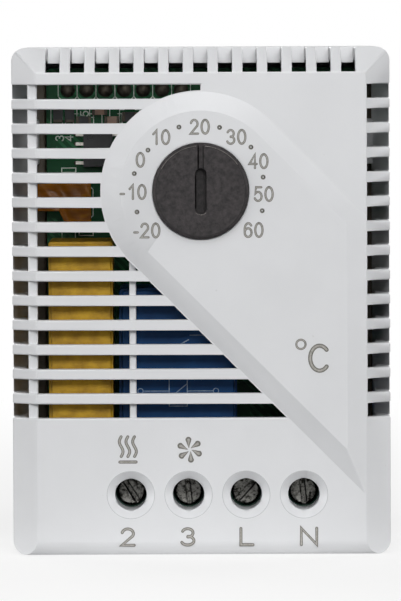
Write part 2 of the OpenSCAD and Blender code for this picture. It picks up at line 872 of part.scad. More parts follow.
module relay_case() {
    color(relay_c) translate([relay_x, 0, relay_z]) {
        slab(board_y - relay_t + inside_r, board_y - relay_base_t)
            round_rect(relay_w, relay_h, inside_r);
        slab(board_y - relay_t, board_y - relay_t + inside_r)
            round_rect(relay_w - 2 * small_r, relay_h - 2 * small_r, inside_r);
    }
}

module relay_base() {
    color(relay_c) translate([relay_x, 0, relay_z])
        slab(board_y - relay_base_t, board_y)
            round_rect(relay_w - 2 * small_r, relay_h - 2 * small_r, inside_r);
}

module relay_pins() {
    color(metal_c) board_pins(relay_pin_places(), pin_r, board_y);
}

module film_capacitor() {
    color(film_c) translate([film_x, 0, film_z]) {
        slab(board_y - film_t + small_r, board_y - small_r) round_rect(film_w, film_h, small_r);
        slab(board_y - film_t, board_y - film_t + small_r)
            round_rect(film_w - 2 * small_r, film_h - 2 * small_r, small_r);
        for (s = [-1, 1])
            translate([0, 0, s * (film_h / 2 - film_w / 4)])
                slab(board_y - small_r, board_y) square([film_w - 2 * small_r, film_w / 6], center = true);
    }
}

module film_capacitor_leads() {
    color(metal_c) board_pins(pair(film_x, film_z, film_lead_gap), pin_r, board_y);
}

module control_chip() {
    gap = chip_lead_t / 2;
    color(dark_c) translate([chip_x, 0, chip_z]) difference() {
        slab(board_y - gap - chip_t, board_y - gap) square([chip_w, chip_h], center = true);
        translate([-chip_w / 4, 0, chip_h / 3])
            rod(chip_lead_w, board_y - gap - chip_t - over, board_y - gap - chip_t + gap);
    }
}

// One gull-wing lead, leaving the chip's side and stepping down to the board
module gull_lead(side) {
    x0 = chip_w / 2;
    mid = board_y - chip_t / 2;
    translate([0, 0, -chip_lead_w / 2]) linear_extrude(height = chip_lead_w)
        polygon([for (p = [[x0, mid], [x0 + chip_lead_out / 2, mid],
            [x0 + chip_lead_out / 2, board_y - chip_lead_t], [x0 + chip_lead_out, board_y - chip_lead_t],
            [x0 + chip_lead_out, board_y], [x0 + chip_lead_out / 2 - chip_lead_t, board_y],
            [x0 + chip_lead_out / 2 - chip_lead_t, mid + chip_lead_t], [x0, mid + chip_lead_t]])
            [side * p[0], p[1]]]);
}

module control_chip_leads() {
    color(metal_c)
    for (side = [-1, 1], k = [0 : 3])
        translate([chip_x, 0, chip_z + (k - 1.5) * chip_pitch]) gull_lead(side);
}

// Chip parts: length, width and thickness of the body, and places as shares of the board's half width across
// and of the room between the control chip and the connector
chip_part_l = 2;
chip_part_w = 1.25;
chip_part_t = 0.6;
upright_resistor_shares =
    [[-0.925, 0.38], [-0.85, 0.38], [-0.34, 0.33], [0.34, 0.33], [0.42, 0.33], [0.5, 0.33]];
level_resistor_shares = [[-0.76, 0.23], [-0.46, 0.33], [0.62, 0.33]];
level_capacitor_shares = [[-0.655, 0.5], [-0.575, 0.23], [0.74, 0.33]];

module chip_part(place, upright) {
    size = upright ? [chip_part_w, chip_part_l] : [chip_part_l, chip_part_w];
    chip_top = chip_z + chip_h / 2;
    translate([place[0] * board_w / 2, 0, chip_top + place[1] * (connector_z - chip_top)])
        slab(board_y - chip_part_t, board_y) square(size, center = true);
}

module chip_resistors() {
    color(dark_c) {
        for (p = upright_resistor_shares) chip_part(p, true);
        for (p = level_resistor_shares) chip_part(p, false);
    }
}

module chip_capacitors() {
    color(ceramic_c) for (p = level_capacitor_shares) chip_part(p, false);
}

module board_connector() {
    w = connector_count * connector_pitch;
    color(dark_c)
    difference() {
        block([connector_x - connector_pitch / 2, board_back, connector_z - connector_pitch / 2],
            [connector_x - connector_pitch / 2 + w, board_back + connector_t,
                connector_z + connector_pitch / 2]);
        for (p = connector_places())
            translate([p[0], 0, p[1]]) rod(pin_hole_r, board_back - over, board_back + connector_t + over);
    }
}

// Pins of the connector, each in a solder dome on the board's face
module connector_pins() {
    dome_r = (solder_r * solder_r + solder_t * solder_t) / (2 * solder_t);
    color(metal_c)
    for (p = connector_places())
        translate([p[0], 0, p[1]]) {
            rod(pin_r, board_y - solder_t / 2, board_back + connector_t + pin_out);
            intersection() {
                translate([0, board_y + dome_r - solder_t, 0]) sphere(r = dome_r);
                rod(solder_r, board_y - over, board_y);
            }
        }
}

/* Temperature sensor, held out to the side louvres under a strip of film */

sensor_y = board_y - sensor_rise;

// The two wires from the bead's middle to the board's holes
module sensor_runs() {
    for (p = pair(sensor_x, sensor_z, sensor_gap))
        translate([bead_r - bead_end, sensor_y, p[1]]) rotate([0, 90, 0])
            cylinder(r = sensor_wire_r, h = sensor_x + bead_end - bead_r);
}

module sensor_leads() {
    color(metal_c) {
        sensor_runs();
        for (p = pair(sensor_x, sensor_z, sensor_gap))
            translate([p[0], 0, p[1]]) rod(sensor_wire_r, sensor_y - sensor_wire_r, board_back + pin_out);
    }
}

module sensor_bead() {
    color(dark_c)
    difference() {
        translate([bead_r - bead_end, sensor_y, sensor_z]) sphere(r = bead_r);
        sensor_runs();
    }
}

module sensor_tape() {
    color(amber_c)
    slab(sensor_y - bead_r - play - tape_t, sensor_y - bead_r - play)
        polygon([[tape_x0, tape_top], [tape_x0 + tape_l, tape_top], [tape_x0 + tape_l, tape_low],
            [tape_x0 + tape_l - tape_foot_l, tape_low],
            [tape_x0 + tape_l - tape_foot_l - tape_foot_h / 2, tape_low + tape_foot_h],
            [tape_x0, tape_low + tape_foot_h]]);
}

sleeve_t = 0.25;

// The can stands in its printed sleeve, which leaves the crimped end and the base open
module smoothing_capacitor() {
    r = smoother_r - sleeve_t;
    color(metal_c) {
        translate([smoother_x, 0, smoother_z]) difference() {
            rod(r, board_y - smoother_l, board_y);
            slab(board_y - smoother_l - over, board_y - smoother_l + sleeve_t) {
                square([r, sleeve_t], center = true);
                square([sleeve_t, r], center = true);
            }
        }
        for (p = pair(smoother_x, smoother_z, smoother_r))
            translate([p[0], 0, p[1]]) rod(pin_r, board_y, board_back + pin_out);
    }
}

module capacitor_sleeve() {
    color(dark_c) translate([smoother_x, 0, smoother_z]) difference() {
        rod(smoother_r, board_y - smoother_l + sleeve_t, board_y - sleeve_t);
        rod(smoother_r - sleeve_t, board_y - smoother_l - over, board_y + over);
    }
}

module bridge_rectifier() {
    color(dark_c) translate([rectifier_x, 0, rectifier_z])
        slab(board_y - rectifier_t, board_y) square([rectifier_w, rectifier_h], center = true);
}

module rectifier_leads() {
    color(metal_c) board_pins(rectifier_places(), pin_r, board_y);
}

module varistor() {
    color([0.12, 0.3, 0.55])
    translate([varistor_x - varistor_t / 2, varistor_mid, varistor_z])
        rotate([0, 90, 0]) cylinder(r = varistor_r, h = varistor_t);
}

module varistor_leads() {
    color(metal_c)
    for (p = pair(varistor_x, varistor_z, varistor_gap))
        translate([p[0], 0, p[1]])
            rod(pin_r, varistor_mid + sqrt(pow(varistor_r, 2) - pow(varistor_gap / 2 - pin_r, 2)),
                board_back + pin_out);
}

module driver_transistor() {
    color(dark_c) translate([transistor_x, 0, transistor_z])
        slab(board_y - 2 * transistor_l, board_y - transistor_l)
            intersection() {
                circle(r = transistor_r);
                translate([-transistor_r, -transistor_r]) square([2 * transistor_r, 1.7 * transistor_r]);
            }
}

module transistor_leads() {
    color(metal_c) board_pins(transistor_places(), sensor_wire_r, board_y - transistor_l);
}

front_cover();
rear_base();
rail_latch();
latch_spring();
dial();
adjuster_shaft();
potentiometer();
potentiometer_pins();
circuit_board();
terminal_block();
terminal_screw(0);  // terminal_screw_1
terminal_screw(1);  // terminal_screw_2
terminal_screw(2);  // terminal_screw_3
terminal_screw(3);  // terminal_screw_4
clamp_cage(0);  // clamp_cage_1
clamp_cage(1);  // clamp_cage_2
clamp_cage(2);  // clamp_cage_3
clamp_cage(3);  // clamp_cage_4
contact_bars();
relay_case();
relay_base();
relay_pins();
film_capacitor();
film_capacitor_leads();
control_chip();
control_chip_leads();
chip_resistors();
chip_capacitors();
board_connector();
connector_pins();
sensor_bead();
sensor_leads();
sensor_tape();
smoothing_capacitor();
capacitor_sleeve();
bridge_rectifier();
rectifier_leads();
varistor();
varistor_leads();
driver_transistor();
transistor_leads();
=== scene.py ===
import json
import math

import bmesh
import bpy
import numpy as np
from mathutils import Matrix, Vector

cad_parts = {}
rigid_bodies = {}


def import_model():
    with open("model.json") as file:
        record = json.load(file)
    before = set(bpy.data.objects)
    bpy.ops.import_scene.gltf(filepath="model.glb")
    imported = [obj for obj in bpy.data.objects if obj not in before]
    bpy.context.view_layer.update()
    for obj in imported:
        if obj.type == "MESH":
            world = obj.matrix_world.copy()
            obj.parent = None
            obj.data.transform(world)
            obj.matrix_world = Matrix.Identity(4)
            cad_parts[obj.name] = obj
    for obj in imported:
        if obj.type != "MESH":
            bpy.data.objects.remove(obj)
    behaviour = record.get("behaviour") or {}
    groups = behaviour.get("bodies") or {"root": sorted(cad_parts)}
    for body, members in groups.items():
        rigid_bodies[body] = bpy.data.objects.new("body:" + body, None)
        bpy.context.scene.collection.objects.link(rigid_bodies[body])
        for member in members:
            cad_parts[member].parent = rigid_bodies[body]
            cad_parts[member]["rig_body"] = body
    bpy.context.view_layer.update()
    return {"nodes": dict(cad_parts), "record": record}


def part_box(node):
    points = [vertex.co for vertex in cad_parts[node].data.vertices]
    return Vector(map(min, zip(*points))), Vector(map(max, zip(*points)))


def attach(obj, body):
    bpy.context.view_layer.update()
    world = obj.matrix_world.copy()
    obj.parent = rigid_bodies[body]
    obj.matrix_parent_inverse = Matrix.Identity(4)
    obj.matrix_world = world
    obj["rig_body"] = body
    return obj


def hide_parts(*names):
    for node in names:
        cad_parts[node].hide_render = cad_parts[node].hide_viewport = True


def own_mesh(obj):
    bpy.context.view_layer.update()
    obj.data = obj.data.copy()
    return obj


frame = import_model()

MM = 0.001
scene = bpy.context.scene


def middle(node):
    """Middle of a node's box in X and Z, in millimetres."""
    low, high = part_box(node)
    return (low.x + high.x) / 2 / MM, (low.z + high.z) / 2 / MM


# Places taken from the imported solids: corners and planes in metres, the middles of dial, screws and relay in
# millimetres
cover_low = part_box("front_cover")[0]
dial_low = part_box("dial")[0]
relay_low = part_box("relay_case")[0]
board_low, board_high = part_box("circuit_board")
tape_low, tape_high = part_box("sensor_tape")
spring_low, spring_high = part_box("latch_spring")
chip_low, chip_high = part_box("control_chip")
dial_x, dial_z = middle("dial")
relay_x, relay_z = middle("relay_case")
pin_z = middle("board_connector")[1]
screw_places = [middle(f"terminal_screw_{k}") for k in range(1, 5)]

PLATE_PROUD = 1.2 * MM
PLATE_Y = cover_low.y
FACE_Y = PLATE_Y + PLATE_PROUD
BOARD_Y = board_low.y


def linked(name, data):
    """New object in the scene, at the origin and unturned."""
    obj = bpy.data.objects.new(name, data)
    scene.collection.objects.link(obj)
    return obj


# Camera
def look_at(obj, target, roll=0.0):
    """Turns an object so that its -Z axis points at target, then rolls it about that axis by roll degrees."""
    obj.rotation_mode = "QUATERNION"
    obj.rotation_quaternion = (Vector(target) - obj.location).to_track_quat("-Z", "Y")
    obj.rotation_mode = "XYZ"
    obj.rotation_euler.rotate_axis("Z", math.radians(roll))


# A long lens well in front of the face and a little above the middle, because the photograph shows the tops of the
# slots and the screws low in their wells
CAMERA_AWAY, CAMERA_RISE = 0.925, 0.037
CAMERA_AIM = (-0.0001, FACE_Y, 0.00016)
CAMERA_ROLL = -0.24
camera_data = bpy.data.cameras.new("camera")
camera = linked("camera", camera_data)
camera.location = (0.0, FACE_Y - CAMERA_AWAY, CAMERA_RISE)
look_at(camera, CAMERA_AIM, roll=CAMERA_ROLL)
camera_data.sensor_fit = "VERTICAL"
camera_data.sensor_height = 24.0
camera_data.lens = 280.4
camera_data.clip_start = 0.01
camera_data.clip_end = 20.0
scene.camera = camera


# Colours and nodes
def linear(text):
    """sRGB hex to linear RGBA."""
    srgb = np.array([int(text[i:i + 2], 16) for i in (1, 3, 5)]) / 255
    rgb = np.where(srgb <= 0.04045, srgb / 12.92, ((srgb + 0.055) / 1.055) ** 2.4)
    return (*[float(c) for c in rgb], 1.0)


def per(size_mm):
    """Texture scale at which one feature of a pattern is size_mm across."""
    return 1000.0 / size_mm


def add(tree, kind, values=None, links=None, **attributes):
    """Adds one node, sets its attributes and socket values, and links the given outputs to its sockets."""
    node = tree.nodes.new(kind)
    for key, value in attributes.items():
        setattr(node, key, value)
    for key, value in (values or {}).items():
        node.inputs[key].default_value = value
    for key, output in (links or {}).items():
        tree.links.new(output, node.inputs[key])
    return node


def ramp(tree, fac, stops):
    """Colour ramp through the given (place, hex) stops."""
    node = add(tree, "ShaderNodeValToRGB", links={"Fac": fac})
    elements = node.color_ramp.elements
    while len(elements) < len(stops):
        elements.new(0.5)
    for element, (place, colour) in zip(elements, stops):
        element.position = place
        element.color = linear(colour)
    return node.outputs["Color"]


def new_material(name):
    """Empty node material with its Principled shader and Object coordinates."""
    material = bpy.data.materials.new(name)
    material.use_nodes = True
    tree = material.node_tree
    tree.nodes.clear()
    out = add(tree, "ShaderNodeOutputMaterial")
    shader = add(tree, "ShaderNodeBsdfPrincipled")
    tree.links.new(shader.outputs["BSDF"], out.inputs["Surface"])
    coords = add(tree, "ShaderNodeTexCoord").outputs["Object"]
    return material, tree, shader, coords


# Tone of the dust specks, and the near black towards which painted shade in recesses falls
DUST, DEEP_SHADE = "#6f6a60", "#0a0909"


def moulded(name, pale, dark, roughness, grain_mm, relief_mm, cloud_mm=9.0, ior=1.5, speck=0.0, speck_mm=0.9,
            shine=0.5, sunk_shade=None):
    """Moulded plastic: soft clouds between two near tones, an eroded grain in the bump and a matching unevenness in
    the gloss. speck lays scattered dust over it at that share, shine sets the mirror part, and sunk_shade paints shade
    into recesses: it gives two depths along Y in millimetres and the share by which the tone falls to near black from
    the first to the second."""
    material, tree, shader, coords = new_material(name)
    cloud = add(tree, "ShaderNodeTexNoise", {"Scale": per(cloud_mm), "Detail": 3.0, "Roughness": 0.55},
                {"Vector": coords})
    colour = ramp(tree, cloud.outputs["Fac"], [(0.3, dark), (0.7, pale)])
    grain = add(tree, "ShaderNodeTexNoise", {"Scale": per(grain_mm), "Detail": 2.0, "Roughness": 0.6},
                {"Vector": coords})
    if speck:
        dust = add(tree, "ShaderNodeTexNoise", {"Scale": per(speck_mm), "Detail": 1.0}, {"Vector": coords})
        few = add(tree, "ShaderNodeMapRange", {"From Min": 0.8, "From Max": 0.86, "To Min": 0.0, "To Max": speck},
                  {"Value": dust.outputs["Fac"]})
        dusted = add(tree, "ShaderNodeMix", {7: linear(DUST)}, {0: few.outputs["Result"], 6: colour},
                     data_type="RGBA")
        colour = dusted.outputs[2]
    # Painted shade: the tone falls towards near black with depth along Y, as shade falls in a recess
    if sunk_shade:
        place = add(tree, "ShaderNodeSeparateXYZ", links={"Vector": coords})
        deep = add(tree, "ShaderNodeMapRange", {"From Min": sunk_shade[0] * MM, "From Max": sunk_shade[1] * MM, "To Min": 0.0,
                                                "To Max": sunk_shade[2]}, {"Value": place.outputs["Y"]})
        fall = add(tree, "ShaderNodeMix", {7: linear(DEEP_SHADE)}, {0: deep.outputs["Result"], 6: colour},
                   data_type="RGBA")
        colour = fall.outputs[2]
    tree.links.new(colour, shader.inputs["Base Color"])
    gloss = add(tree, "ShaderNodeMapRange", {"From Min": 0.25, "From Max": 0.75, "To Min": roughness - 0.05,
                                             "To Max": roughness + 0.06}, {"Value": grain.outputs["Fac"]})
    tree.links.new(gloss.outputs["Result"], shader.inputs["Roughness"])
    bump = add(tree, "ShaderNodeBump", {"Strength": 0.6, "Distance": relief_mm * MM}, {"Height": grain.outputs["Fac"]})
    tree.links.new(bump.outputs["Normal"], shader.inputs["Normal"])
    shader.inputs["IOR"].default_value = ior
    shader.inputs["Specular IOR Level"].default_value = shine
    return material


def plated(name, pale, dark, roughness, grain_mm, relief_mm, patch_mm=1.1, spread=0.15):
    """Metal with a dull mottled skin: two tones in patches, which blend over spread to both sides of the pattern's
    middle, a gloss that follows the patches, and a fine bump."""
    material, tree, shader, coords = new_material(name)
    patches = add(tree, "ShaderNodeTexNoise", {"Scale": per(patch_mm), "Detail": 5.0, "Roughness": 0.65},
                  {"Vector": coords})
    colour = ramp(tree, patches.outputs["Fac"], [(0.5 - spread, dark), (0.5 + spread, pale)])
    tree.links.new(colour, shader.inputs["Base Color"])
    grain = add(tree, "ShaderNodeTexNoise", {"Scale": per(grain_mm), "Detail": 3.0}, {"Vector": coords})
    gloss = add(tree, "ShaderNodeMapRange", {"From Min": 0.3, "From Max": 0.7, "To Min": roughness - 0.1,
                                             "To Max": roughness + 0.12}, {"Value": patches.outputs["Fac"]})
    tree.links.new(gloss.outputs["Result"], shader.inputs["Roughness"])
    bump = add(tree, "ShaderNodeBump", {"Strength": 0.5, "Distance": relief_mm * MM}, {"Height": grain.outputs["Fac"]})
    tree.links.new(bump.outputs["Normal"], shader.inputs["Normal"])
    shader.inputs["Metallic"].default_value = 1.0
    return material


# Polycarbonate blend, spark-eroded mould: light grey, satin, with a very fine grain and a few dust specks
cover_plastic = moulded("polycarbonate_light_grey", "#d3d4d6", "#cfd0d2", 0.44, 0.16, 0.012, ior=1.58, speck=0.2)
# The same moulding compound in the base, a shade darker and a little coarser
base_plastic = moulded("polycarbonate_base_grey", "#cfd0d1", "#c9cacb", 0.5, 0.22, 0.02, ior=1.58, speck=0.2)
# The ledges under the board's edges: the same plastic in a dark brownish tone of painted shade, for the shade inside
# the housing
ledge_painted_shade = moulded("polycarbonate_painted_shade", "#695f4e", "#5a5143", 0.55, 0.25, 0.02, ior=1.58)
# Acetal, for the sliding latch: slightly waxy
latch_plastic = moulded("acetal_grey", "#cbccce", "#c3c4c6", 0.38, 0.3, 0.01, ior=1.48)
# Glass-filled polyamide, eroded mould: charcoal with a pale speckle, drawn a little coarse so that it shows; painted
# shade makes it fall darker in the slot and the groove
dial_plastic = moulded("polyamide_charcoal", "#383435", "#151314", 0.6, 0.2, 0.07, cloud_mm=0.6, ior=1.53, speck=0.8,
                        speck_mm=0.3, shine=0.22, sunk_shade=(-32.4, -31.6, 0.4))
# Painted shade: near black charcoal for the fine moulded line inside the dial's rim, which lies in its own shadow,
# and for the floors of the dial's groove and slot and of the screws' slots
painted_line_shade = moulded("polyamide_charcoal_painted_shade", "#1d1b1b", "#141313", 0.6, 0.2, 0.01, ior=1.53, shine=0.2)
# Painted shade for the witness line of the mould's inserts, a hair-deep step that lies in its own shadow: the cover's
# plastic a tone darker
witness_shade = moulded("polycarbonate_witness_painted_shade", "#aeb0b3", "#a4a6a9", 0.5, 0.2, 0.004, ior=1.58)
# Painted highlight on the upper edge of the dial's rim, where light from above catches it, and the dial's plastic
# rubbed pale by a driver below the slot
rim_highlight_and_wear = moulded("polyamide_charcoal_worn_and_highlight", "#86817d", "#45413f", 0.5, 0.2, 0.01, cloud_mm=0.5, ior=1.53, shine=0.3)
# Natural polyamide of the adjuster's shaft
shaft_plastic = moulded("polyamide_natural", "#d8d6cd", "#cbc8bd", 0.45, 0.3, 0.01, ior=1.53)
# Transfer-moulded epoxy of the small black parts
part_epoxy = moulded("epoxy_black", "#2a2b2d", "#202123", 0.48, 0.12, 0.01, cloud_mm=1.5, ior=1.55, shine=0.35)
# Terminal block: green polyamide
block_polyamide = moulded("polyamide_green", "#1f3f33", "#19342a", 0.42, 0.25, 0.015, ior=1.53, shine=0.25)
# Polybutylene relay case: blue, nearly glossy
relay_plastic = moulded("polybutylene_blue", "#11406e", "#0c3158", 0.36, 0.4, 0.006, cloud_mm=5.0, ior=1.5, shine=0.12)
# Flame-retardant box of the film capacitor: ochre, mottled towards brown and lightly rippled
film_case = moulded("polybutylene_ochre", "#bd961e", "#94700f", 0.42, 0.35, 0.03, cloud_mm=1.6, ior=1.5, shine=0.25)
# Ceramic body of the chip capacitors
chip_ceramic = moulded("ceramic_brown", "#8d6a50", "#77563f", 0.4, 0.1, 0.004, cloud_mm=0.8, ior=1.7)
# Dipped epoxy of the varistor
varistor_coat = moulded("epoxy_blue_dip", "#2c6ba0", "#245b8c", 0.3, 0.8, 0.03, cloud_mm=2.0, ior=1.55)
# Shrunk sleeve of the smoothing capacitor
sleeve_film = moulded("shrink_sleeve_black", "#26282c", "#1f2125", 0.28, 0.6, 0.01, ior=1.53)
# Dull grey marking of the scale and the terminals, mottled along its edges
mark_ink = moulded("marking_ink_grey", "#6d6b65", "#5b5953", 0.62, 0.1, 0.004, cloud_mm=0.35)
# The paler middle of the marked strokes
mark_core = moulded("marking_ink_core", "#a9a6a1", "#8a8781", 0.62, 0.1, 0.004, cloud_mm=0.3)
# Screen-printed legend of the board
legend_ink = moulded("legend_ink_white", "#dfe6dc", "#c9d3c8", 0.6, 0.15, 0.004, cloud_mm=0.5)
# Pad-printed diagram on the relay, thin and half worn away
pad_ink = moulded("pad_ink_faded", "#8497ab", "#4b6684", 0.55, 0.2, 0.002, cloud_mm=0.6)

# Tin-plated pins and bars: soft grey, slightly matt
plated_metal = plated("tin_plate", "#c9c7c1", "#b3b0a8", 0.34, 0.2, 0.01)
# Zinc-plated steel screws, passivated dark, scuffed by the driver
screw_steel = plated("zinc_plated_steel", "#7e7d79", "#141311", 0.36, 0.3, 0.05, patch_mm=0.5, spread=0.1)
# Hard-drawn spring wire
spring_steel = plated("spring_steel", "#bdbdbb", "#a5a5a2", 0.25, 0.1, 0.004)
# Lead-free solder: dull, brownish with flux
solder = plated("solder_tin_silver", "#615c52", "#403c36", 0.55, 0.18, 0.03)
# Drawn aluminium can
can_aluminium = plated("aluminium_can", "#dcdcdc", "#cfcfcf", 0.28, 0.25, 0.004)


def laminate():
    """Green solder mask over copper: slanting tracks show through as bands of a paler green in about half the cells
    of a pattern of square-cornered areas 5.5 mm across. A wave texture's bands repeat at pi / 10 of its scale's
    length, so 2.8 mm gives the tracks a pitch of 0.88 mm."""
    material, tree, shader, coords = new_material("solder_mask_green")
    cells = add(tree, "ShaderNodeTexVoronoi", {"Scale": per(5.5)}, {"Vector": coords}, distance="CHEBYCHEV")
    turned = add(tree, "ShaderNodeMapping", {"Rotation": (0.0, math.radians(45.0), 0.0)}, {"Vector": coords})
    lines = add(tree, "ShaderNodeTexWave", {"Scale": per(2.8), "Distortion": 0.0},
                {"Vector": turned.outputs["Vector"]}, wave_type="BANDS", bands_direction="X")
    area = add(tree, "ShaderNodeMath", {1: 0.5}, {0: cells.outputs["Color"]}, operation="GREATER_THAN")
    track = add(tree, "ShaderNodeMath", {1: 0.62}, {0: lines.outputs["Fac"]}, operation="GREATER_THAN")
    both = add(tree, "ShaderNodeMath", links={0: area.outputs["Value"], 1: track.outputs["Value"]},
               operation="MULTIPLY")
    colour = add(tree, "ShaderNodeMix", {6: linear("#0f4a2a"), 7: linear("#26653f")}, {0: both.outputs["Value"]},
                 data_type="RGBA")
    tree.links.new(colour.outputs[2], shader.inputs["Base Color"])
    bump = add(tree, "ShaderNodeBump", {"Strength": 0.6, "Distance": 0.03 * MM}, {"Height": both.outputs["Value"]})
    tree.links.new(bump.outputs["Normal"], shader.inputs["Normal"])
    shader.inputs["Roughness"].default_value = 0.34
    shader.inputs["IOR"].default_value = 1.52
    shader.inputs["Specular IOR Level"].default_value = 0.15
    return material


def polyimide():
    """Amber polyimide film: clear orange body, darker where the adhesive is thick, in streaks along the strip."""
    material, tree, shader, coords = new_material("polyimide_amber")
    stretched = add(tree, "ShaderNodeMapping", {"Scale": (0.25, 1.0, 1.0)}, {"Vector": coords})
    streaks = add(tree, "ShaderNodeTexNoise", {"Scale": per(1.4), "Detail": 4.0, "Distortion": 0.6},
                  {"Vector": stretched.outputs["Vector"]})
    colour = ramp(tree, streaks.outputs["Fac"], [(0.3, "#643a00"), (0.55, "#8c5200"), (0.75, "#b87800")])
    tree.links.new(colour, shader.inputs["Base Color"])
    bump = add(tree, "ShaderNodeBump", {"Strength": 0.7, "Distance": 0.06 * MM}, {"Height": streaks.outputs["Fac"]})
    tree.links.new(bump.outputs["Normal"], shader.inputs["Normal"])
    shader.inputs["Roughness"].default_value = 0.26
    shader.inputs["IOR"].default_value = 1.6
    shader.inputs["Specular IOR Level"].default_value = 0.1
    shader.inputs["Transmission Weight"].default_value = 0.05
    return material


board_laminate = laminate()
amber_film = polyimide()

finishes = {
    "cover_plastic": cover_plastic, "base_plastic": base_plastic, "latch_plastic": latch_plastic,
    "spring_steel": spring_steel, "dial_plastic": dial_plastic, "shaft_plastic": shaft_plastic,
    "part_body": part_epoxy, "board_laminate": board_laminate, "block_plastic": block_polyamide,
    "plated_metal": plated_metal, "screw_steel": screw_steel, "relay_plastic": relay_plastic,
    "film_case": film_case, "ceramic_chip": chip_ceramic, "solder": solder, "amber_film": amber_film,
    "can_aluminium": can_aluminium, "sleeve_film": sleeve_film, "varistor_coat": varistor_coat,
}
slot_of = {part["node"]: part["material_slot"] for part in frame["record"]["subparts"]}
for name, obj in frame["nodes"].items():
    obj.data.materials.clear()
    obj.data.materials.append(finishes[slot_of[name]])


# How pieces are built
def place_piece(obj, body, material):
    """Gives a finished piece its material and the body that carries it."""
    obj.data.materials.clear()
    obj.data.materials.append(material)
    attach(obj, body)
    return obj


def smooth(mesh, sharp):
    """Smooth shading, which breaks only at edges of more than sharp degrees."""
    mesh.polygons.foreach_set("use_smooth", np.ones(len(mesh.polygons), dtype=bool))
    mesh.set_sharp_from_angle(angle=math.radians(sharp))


# Points nearer than the first are one, and a piece's edges shorter than the second are dropped, in metres
SAME_POINT, NO_EDGE = 1e-6, 1e-7


def from_arrays(name, points, faces, body, material, slot, sharp=35.0):
    """Mesh piece from an array of points and an array or list of faces, its doubles merged and its normals turned
    outwards."""
    mesh = bpy.data.meshes.new(name)
    mesh.from_pydata(points.tolist(), [], faces if isinstance(faces, list) else faces.tolist())
    work = bmesh.new()
    work.from_mesh(mesh)
    bmesh.ops.remove_doubles(work, verts=work.verts, dist=SAME_POINT)
    bmesh.ops.dissolve_degenerate(work, edges=work.edges, dist=NO_EDGE)
    bmesh.ops.recalc_face_normals(work, faces=work.faces)
    work.to_mesh(mesh)
    work.free()
    smooth(mesh, sharp)
    return place_piece(linked(name, mesh), body, material)


def quads(rows, columns, wrap=False):
    """Faces of a grid of rows by columns points, closed across its columns where wrap is set."""
    last = columns if wrap else columns - 1
    r, c = np.meshgrid(np.arange(rows - 1), np.arange(last), indexing="ij")
    here, there, n = r * columns, (r + 1) * columns, (c + 1) % columns
    return np.stack([here + c, here + n, there + n, there + c], -1).reshape(-1, 4)


def room(face):
    """For each edge of a flat face, how far it is from the edge's middle straight across the face to the next
    edge that the line meets."""
    points = np.array([v.co for v in face.verts])
    ahead = np.roll(points, -1, 0) - points
    along = ahead / np.maximum(np.linalg.norm(ahead, axis=1), 1e-12)[:, None]
    inward = np.cross(np.array(face.normal), along)
    gap = points[None] - (points + ahead / 2)[:, None]
    u, v = (gap * along[:, None]).sum(2), (gap * inward[:, None]).sum(2)
    u_next, v_next = np.roll(u, -1, 1), np.roll(v, -1, 1)
    run = np.where(np.abs(u - u_next) > 1e-12, u - u_next, 1.0)
    reach = v + u / run * (v_next - v)
    met = (u * u_next <= 0) & (np.abs(u - u_next) > 1e-12) & (reach > 1e-8)
    np.fill_diagonal(met, False)
    return np.where(met, reach, 1.0).min(1)


# A solid's copy: distances in metres for its doubles and its slivers, angles in degrees within which faces join as
# one flat face and above which its shading breaks
SOLID_POINT, SOLID_SLIVER, FLAT, CREASE = 2e-6, 5e-6, 0.6, 14.0


def softened(node, name, width_mm, spare=2.2, segments=2, angle=32.0, crisp=()):
    """Copy of a solid with its doubles merged, its flat faces joined and its outward edges rounded by width_mm.
    An edge whose faces are narrower than spare times that width stays sharp, so that no outline crosses itself.
    crisp lists rings by centre in X and Z, inner and outer radius and width, all in millimetres: the edges that lie
    in a ring are rounded by its own width."""
    source = frame["nodes"][node]
    mesh = source.data.copy()
    mesh.name = name
    work = bmesh.new()
    work.from_mesh(mesh)
    bmesh.ops.remove_doubles(work, verts=work.verts, dist=SOLID_POINT)
    bmesh.ops.dissolve_degenerate(work, edges=work.edges, dist=SOLID_SLIVER)
    bmesh.ops.dissolve_limit(work, angle_limit=math.radians(FLAT), verts=work.verts, edges=work.edges)
    work.edges.index_update()
    free = np.ones(len(work.edges))
    for face in work.faces:
        index = [loop.edge.index for loop in face.loops]
        free[index] = np.minimum(free[index], room(face))
    layer = work.edges.layers.float.new("bevel_weight_edge")
    for edge in work.edges:
        if len(edge.link_faces) == 2 and edge.calc_face_angle_signed(0) > math.radians(angle):
            width = width_mm
            for x, z, near, far, ring_width in crisp:
                if all(near < math.hypot(v.co.x / MM - x, v.co.z / MM - z) < far for v in edge.verts):
                    width = ring_width
            edge[layer] = float(free[edge.index] > spare * width * MM) * width / width_mm
    work.to_mesh(mesh)
    work.free()
    smooth(mesh, CREASE)
    obj = linked(name, mesh)
    bevel = obj.modifiers.new("edges", "BEVEL")
    bevel.width = width_mm * MM
    bevel.segments = segments
    bevel.limit_method = "WEIGHT"
    bevel.use_clamp_overlap = False
    bevel.harden_normals = True
    place_piece(obj, source["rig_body"], finishes[slot_of[node]])
    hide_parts(node)
    return obj


# The rims of the wells and of the dial's hole are crisp in the photograph
WELL_RING, DIAL_RING = (2.9, 3.3, 0.05), (6.4, 6.6, 0.05)
softened("front_cover", "cover_moulding", 0.2,
         crisp=[(x, z, *WELL_RING) for x, z in screw_places] + [(dial_x, dial_z, *DIAL_RING)])
softened("rear_base", "base_moulding", 0.12)
softened("rail_latch", "latch_moulding", 0.18)
dial_copy = softened("dial", "dial_moulding", 0.1, spare=1.2)
